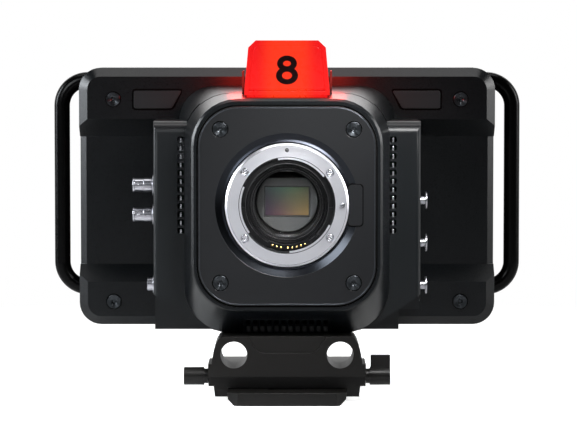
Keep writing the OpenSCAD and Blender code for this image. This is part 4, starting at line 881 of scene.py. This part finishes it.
# A black frame round the plate is painted shade of the groove between it and the nose.
groove = frame_of("plate_groove", [side + 2 * GROOVE_WIDTH - 0.6 for side in plate_size],
                  plate_corner + GROOVE_WIDTH, GROOVE_WIDTH, nose_front - 0.04, nose_front + 0.3,
                  plate_middle)
install(smooth(groove), "nose_shell", gap_shade_finish, stands_for=False)

# A paler metal frame along the plate's edge is a painted highlight.
edge = frame_of("plate_edge", [side - 2 * EDGE_INSET for side in plate_size],
                plate_corner - EDGE_INSET, EDGE_WIDTH, plate_front - 0.06, plate_front + 0.3,
                plate_middle)
smooth(round_edges(edge, 0.2 * MM, 3))
install(edge, "front_plate", edge_highlight_finish, stands_for=False)

button_low, button_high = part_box("lens_release_button")
button_size = ((button_high.x - button_low.x) / MM, (button_high.z - button_low.z) / MM)
button_front = depth_of(button_low.y)
gap_front = min(plate_front - 0.05, button_front + 0.15)
# A black frame round the release button is painted shade of the gap round it.
gap = frame_of("button_gap_shade", [side + 1.2 for side in button_size], BUTTON_CORNER, BUTTON_GAP,
               gap_front, gap_front + 0.6, (button_low + button_high) / 2)
install(smooth(gap), "front_plate", gap_shade_finish, stands_for=False)
print("plate", [round(side, 1) for side in plate_size], "corner", round(plate_corner, 1),
      "front", round(plate_front, 2), round(nose_front, 2))
print("button", [round(side, 1) for side in button_size])

# %% [markdown]
# ## Joints of the microphone covers
# Each cover stands a little out of the housing. The shade in the joint round it is painted on a
# copy of the cover, made thin and slightly larger, and a deeper copy of the same cover is cut out
# of its middle.

# %% Painted shade in the joints round the microphone covers
JOINT_WIDTH = 0.8
JOINT_THICKNESS = 0.2
JOINT_PROUD = 0.04
NEAR_COVER = 4 * MM
housing_mesh = frame["nodes"]["rear_housing"].data
for node in ("mic_cover_left", "mic_cover_right"):
    low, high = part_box(node)
    near = [face.center.y for face in housing_mesh.polygons
            if face.normal.y < -0.9
            and low.x - NEAR_COVER < face.center.x < high.x + NEAR_COVER
            and low.z - NEAR_COVER < face.center.z < high.z + NEAR_COVER]
    face_y = min(near) if near else low.y
    # A thin black copy round the cover is painted shade of its joint.
    joint_shade = cast_copy(node, 0, name=node + "_joint")
    edit(joint_shade, whole=True)
    middle_point = (low + high) / 2
    size = high - low
    grow = [(side + 2 * JOINT_WIDTH * MM) / side for side in (size.x, size.z)]
    bpy.ops.transform.resize(value=(grow[0], JOINT_THICKNESS * MM / size.y, grow[1]),
                             center_override=middle_point)
    joint_y = face_y - JOINT_PROUD * MM + JOINT_THICKNESS / 2 * MM
    bpy.ops.transform.translate(value=(0, joint_y - middle_point.y, 0))
    close(joint_shade)
    cutter = cast_copy(node, 0, name="joint_cutter")
    edit(cutter, whole=True)
    bpy.ops.transform.resize(value=(1, 6, 1), center_override=middle_point)
    close(cutter)
    cut_out(joint_shade, cutter)
    install(smooth(joint_shade), "rear_housing", gap_shade_finish, stands_for=False)
    print(node, "stands", round((face_y - low.y) / MM, 2), "mm out of the housing")

# %% [markdown]
# ## Screws of the contact block
# Two small dark screws hold the block that carries the contacts. Their turned heads stand half
# a millimetre out of the throat's front.

# %% Two small screws of the contact block
BLOCK_HEAD = [(0, 0.35), (0.5, 0.35), (0.6, 0.05), (1.35, 0), (1.6, 0.2), (1.6, 1), (0, 1)]
BLOCK_PITCH_R = 24.6
BLOCK_ANGLES = (227, 314)
for number, angle in enumerate(BLOCK_ANGLES):
    place = around(BLOCK_PITCH_R, throat_front - 0.5, angle)
    screw = smooth(lathe("contact_screw_%d" % number, BLOCK_HEAD, place, steps=32))
    install(screw, "mount_throat", inner_finish, stands_for=False)
    print(screw.name, "at", angle, "degrees")

# %% [markdown]
# ## Tally lens
# The red cap has a raised panel in its front, which holds the number. The front face of the
# copied cap is inset once for the rim, and twice more with a small step back and forth, which
# leaves a groove round the panel.

# %% Tally cap
cap = cast_copy("tally_lens", 0)
cap_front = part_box("tally_lens")[0].y
edit(cap, "FACE")
found = pick(cap, lambda c, face: abs(c.y - cap_front) < 0.05 * MM and face.normal.y < -0.9)
bpy.ops.mesh.inset(thickness=2.3 * MM)
bpy.ops.mesh.inset(thickness=0.35 * MM, depth=-0.55 * MM)
bpy.ops.mesh.inset(thickness=0.5 * MM, depth=0.5 * MM)
close(cap)
smooth(round_edges(cap, 0.4 * MM, 3))
install(cap, "tally_lens", lamp_finish)
print("front faces of the cap:", found)

# %% [markdown]
# ## Video sockets
# Each socket is one turned barrel with a nut at the wall, a lip at the mouth and two lugs that
# a cable's collar locks on. The barrel is spun round the x axis, and the lugs are small turned
# pins on its front and back. A white plastic sleeve sits deep in the bore.

# %% Video sockets
SDI_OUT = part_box("sdi_connectors")[0].x / MM
SDI_DEPTH = 50
SDI_HEIGHTS = (9, -8)
BARREL = [(3.15, 9.4), (3.15, 0.4), (3.45, 0), (3.9, 0), (4.1, 0.25), (4.1, 1.1), (3.9, 1.3),
          (3.9, 6.2), (4.1, 6.4), (4.1, 10.6), (3.8, 10.8), (3.8, 11.3), (5.7, 11.35), (6.1, 11.6),
          (6.1, 12.45), (0, 12.45), (0, 9.4), (3.15, 9.4)]
SLEEVE = [(0.9, 9.3), (0.9, 2.2), (1.1, 2), (1.9, 2), (2.1, 2.2), (2.1, 9.3), (0.9, 9.3)]
LUG = [(0, -5.2), (0.6, -5.2), (0.8, -5.0), (0.8, -3.5), (0, -3.5)]
barrels = []
sleeves = []
for h in SDI_HEIGHTS:
    mouth = at(SDI_OUT, SDI_DEPTH, h)
    barrels.append(lathe("sdi_barrel", BARREL, mouth, "X", 56))
    sleeves.append(lathe("sdi_sleeve", SLEEVE, mouth, "X", 32))
    for side in (1, -1):
        lug = [(r, place * side) for r, place in LUG]
        barrels.append(lathe("sdi_lug", lug, mouth + Vector((3.6 * MM, 0, 0)), "Y", 20))
barrel = join(barrels)
barrel.name = barrel.data.name = "sdi_connectors_turned"
smooth(round_edges(barrel, 0.08 * MM, 2))
install(barrel, "sdi_connectors", nickel_finish)
sleeve = smooth(join(sleeves))
sleeve.name = sleeve.data.name = "sdi_sleeves"
install(sleeve, "sdi_connectors", insulator_finish, stands_for=False)
print("video sockets reach", round(SDI_OUT, 1), "mm")

# %% [markdown]
# ## Rear knobs
# Three knobs set the screen. Their grip is a row of flutes: the cylinder's side has forty
# faces, and every other one is inset and pushed in. A line on the cap shows how far the knob is
# turned.

# %% Rear knobs
KNOB_FACES = 40
FLUTE_DEPTH = 0.35


def fluted_knob(node):
    """A knob with a fluted side and a pointer groove, facing backwards."""
    low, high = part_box(node)
    centre = (low + high) / 2
    radius = (high.z - low.z) / 2
    length = high.y - low.y
    bpy.ops.mesh.primitive_cylinder_add(vertices=KNOB_FACES, radius=radius, depth=length,
                                        location=centre, rotation=(math.pi / 2, 0, 0))
    knob = added(node + "_fluted")
    edit(knob, "FACE")
    pick(knob, lambda c, face: face.normal.y > 0.9)
    bpy.ops.mesh.inset(thickness=1.0 * MM)
    bpy.ops.mesh.inset(thickness=0.4 * MM, depth=-0.4 * MM)
    close(knob)
    weld(knob)
    cut_box(knob, (centre.x, high.y, centre.z + radius * 0.4),
            (0.8 * MM, 1.8 * MM, radius * 0.75))
    step = 2 * math.pi / KNOB_FACES
    edit(knob, "FACE")
    pick(knob, lambda c, face: abs(face.normal.y) < 0.1
         and math.hypot(c.x - centre.x, c.z - centre.z) > radius * 0.95
         and math.floor(math.atan2(c.z - centre.z, c.x - centre.x) / step) % 2 == 0)
    bpy.ops.mesh.inset(thickness=0.15 * MM, use_individual=True)
    bpy.ops.mesh.extrude_region_shrink_fatten(
        TRANSFORM_OT_shrink_fatten={"value": -FLUTE_DEPTH * MM})
    close(knob)
    smooth(round_edges(knob, 0.12 * MM, 2))
    return install(knob, node, rubber_finish)


for node in ("brightness_knob", "contrast_knob", "focus_knob"):
    knob = fluted_knob(node)
    print(node, len(knob.data.polygons), "faces")

# %% [markdown]
# ## Pieces inside
# What is hidden in the housing keeps the frame's own shape and only gets a finish, so that an
# open housing still shows real materials.

# %% Inner nodes keep their own shape
INNER = {
    "nd_carriage_a": matt_finish, "nd_carriage_b": matt_finish, "nd_filter_a": grey_finish,
    "nd_filter_b": dark_finish, "nd_guide_rods": steel_finish, "nd_motors": steel_finish,
    "sensor_board": board_finish, "heat_sink": sink_finish, "fan_frame": matt_finish,
    "fan_rotor": matt_finish, "main_board": board_finish, "mic_capsules": steel_finish,
    "tally_led_board": board_finish,
}
for node, material in INNER.items():
    shape = frame["nodes"][node].data
    shape.materials.clear()
    shape.materials.append(material)
print("inner nodes with a finish:", len(INNER))

# %% [markdown]
# ## Floor and backdrop
# The picture has a pure white ground. The floor and the world show white to the camera, while
# the world that lights the object is much dimmer, so that the lamps decide how its blacks look.
# Black things are lit by what they reflect, so their faces that mirror the back see white too.

# %% World and floor
WORLD_FILL = 0.04
BACK_RANGE = (0.2, 0.7)


def make_world():
    """White to the camera and behind the object in reflections, and a dim fill elsewhere."""
    world = bpy.data.worlds.new("studio")
    bpy.context.scene.world = world
    world.use_nodes = True
    tree = world.node_tree
    tree.nodes.clear()
    out = tree.nodes.new("ShaderNodeOutputWorld")
    seen = tree.nodes.new("ShaderNodeBackground")
    seen.inputs["Color"].default_value = (1, 1, 1, 1)
    lit = tree.nodes.new("ShaderNodeBackground")
    lit.inputs["Color"].default_value = (0.85, 0.93, 1, 1)
    lit.inputs["Strength"].default_value = WORLD_FILL
    path = tree.nodes.new("ShaderNodeLightPath")
    where = tree.nodes.new("ShaderNodeTexCoord")
    split = tree.nodes.new("ShaderNodeSeparateXYZ")
    tree.links.new(where.outputs["Generated"], split.inputs[0])
    glossy = maths(tree, "MAXIMUM", path.outputs["Is Glossy Ray"],
                   path.outputs["Is Transmission Ray"])
    mirrored = maths(tree, "MULTIPLY", glossy, ranged(tree, split.outputs["Y"], BACK_RANGE))
    white = maths(tree, "MAXIMUM", path.outputs["Is Camera Ray"], mirrored)
    mix = tree.nodes.new("ShaderNodeMixShader")
    tree.links.new(white, mix.inputs["Fac"])
    tree.links.new(lit.outputs[0], mix.inputs[1])
    tree.links.new(seen.outputs[0], mix.inputs[2])
    tree.links.new(mix.outputs[0], out.inputs["Surface"])


make_world()
bpy.context.scene.view_settings.view_transform = "Standard"

FLOOR_SIZE = 3
FLOOR_FADE = (0.25, 0.6)
FLOOR_GLOW = 0.82
bpy.ops.mesh.primitive_plane_add(size=FLOOR_SIZE, location=(0, 0, 0))
floor = added("floor")
f = Finish("floor_white")
path = f.add("ShaderNodeLightPath")
f.shade(Base_Color=f.blend(f.noise(0.2), (0.86, 0.86, 0.86, 1), (0.9, 0.9, 0.9, 1)),
        Roughness=0.9, Specular_IOR_Level=0, Emission_Color=(1, 1, 1, 1),
        Emission_Strength=maths(f.tree, "MULTIPLY", path.outputs["Is Camera Ray"], FLOOR_GLOW))
distance = f.add("ShaderNodeVectorMath")
distance.operation = "LENGTH"
f.link(f.where, distance.inputs[0])
fade = ranged(f.tree, distance.outputs["Value"], FLOOR_FADE)
seen = maths(f.tree, "MULTIPLY", fade, path.outputs["Is Camera Ray"])
white = f.add("ShaderNodeEmission", Color=(1, 1, 1, 1))
mix = f.add("ShaderNodeMixShader")
f.link(seen, mix.inputs["Fac"])
f.link(f.shader.outputs[0], mix.inputs[1])
f.link(white.outputs[0], mix.inputs[2])
f.link(mix.outputs[0], f.out.inputs["Surface"])
floor.data.materials.append(f.material)
print("floor", FLOOR_SIZE, "m wide, white beyond", FLOOR_FADE[1], "m")

# %% [markdown]
# ## Lamps
# The key is a soft box at the upper left. A panel above and one behind draw light lines on the
# upper edges, two narrow walls light the sides, and a small lamp and a spot reach into the
# mount. Four weak red points stand for the light that the tally cap throws on the housing.

# %% Lamps
WHITE = (1, 1, 1)
SPILL_COLOUR = (1, 0.03, 0.015)
SPILL_POWER = 0.13
SPILL_PLACES = ((-26, 60, 86), (26, 60, 86), (-26, 14, 74), (26, 14, 74))


def hang(light, place, target=None):
    """Puts a lamp at a place, aims it at a target and hides it from the camera."""
    holder = bpy.data.objects.new(light.name, light)
    bpy.context.scene.collection.objects.link(holder)
    holder.location = place
    holder.visible_camera = False
    if target is not None:
        aim = target - Vector(place)
        holder.rotation_euler = aim.to_track_quat("-Z", "Y").to_euler()


def soft_box(name, place, target, size, power, colour=WHITE, spread=180):
    """A rectangular lamp at a place, aimed at a target, both in metres."""
    light = bpy.data.lights.new(name, "AREA")
    light.shape = "RECTANGLE"
    light.size, light.size_y = size
    light.energy = power
    light.color = colour
    light.spread = math.radians(spread)
    hang(light, place, target)


middle = at(0, 20, 0)
soft_box("key_upper_left", (-0.54, -0.84, 0.56), middle, (0.37, 0.37), 6.5, (0.93, 0.97, 1))
soft_box("panel_above", (0, 0.02, 1.2), middle, (1.1, 0.35), 5.2)
soft_box("panel_behind", (0, 0.95, 0.65), middle, (1.4, 0.6), 4)
soft_box("wall_left", (-1.0, 0.02, 0.42), middle, (0.25, 0.66), 1.8, (0.9, 0.95, 1), 60)
soft_box("wall_right", (1.0, 0.02, 0.42), middle, (0.25, 0.66), 1.0, WHITE, 60)
soft_box("mount_light", at(60, -120, 130), at(0, 0, 4), (0.14, 0.05), 0.25, WHITE, 60)

window_lamp = bpy.data.lights.new("window_lamp", "SPOT")
window_lamp.energy = 11
window_lamp.spot_size = math.radians(2.1)
window_lamp.spot_blend = 0.5
window_lamp.shadow_soft_size = 0.01
hang(window_lamp, at(0, -950, 175), at(0, 44, 0))

for place in SPILL_PLACES:
    spill = bpy.data.lights.new("tally_spill", "POINT")
    spill.energy = SPILL_POWER
    spill.color = SPILL_COLOUR
    spill.shadow_soft_size = 0.012
    hang(spill, at(*place))
print("lamps:", len(bpy.data.lights))
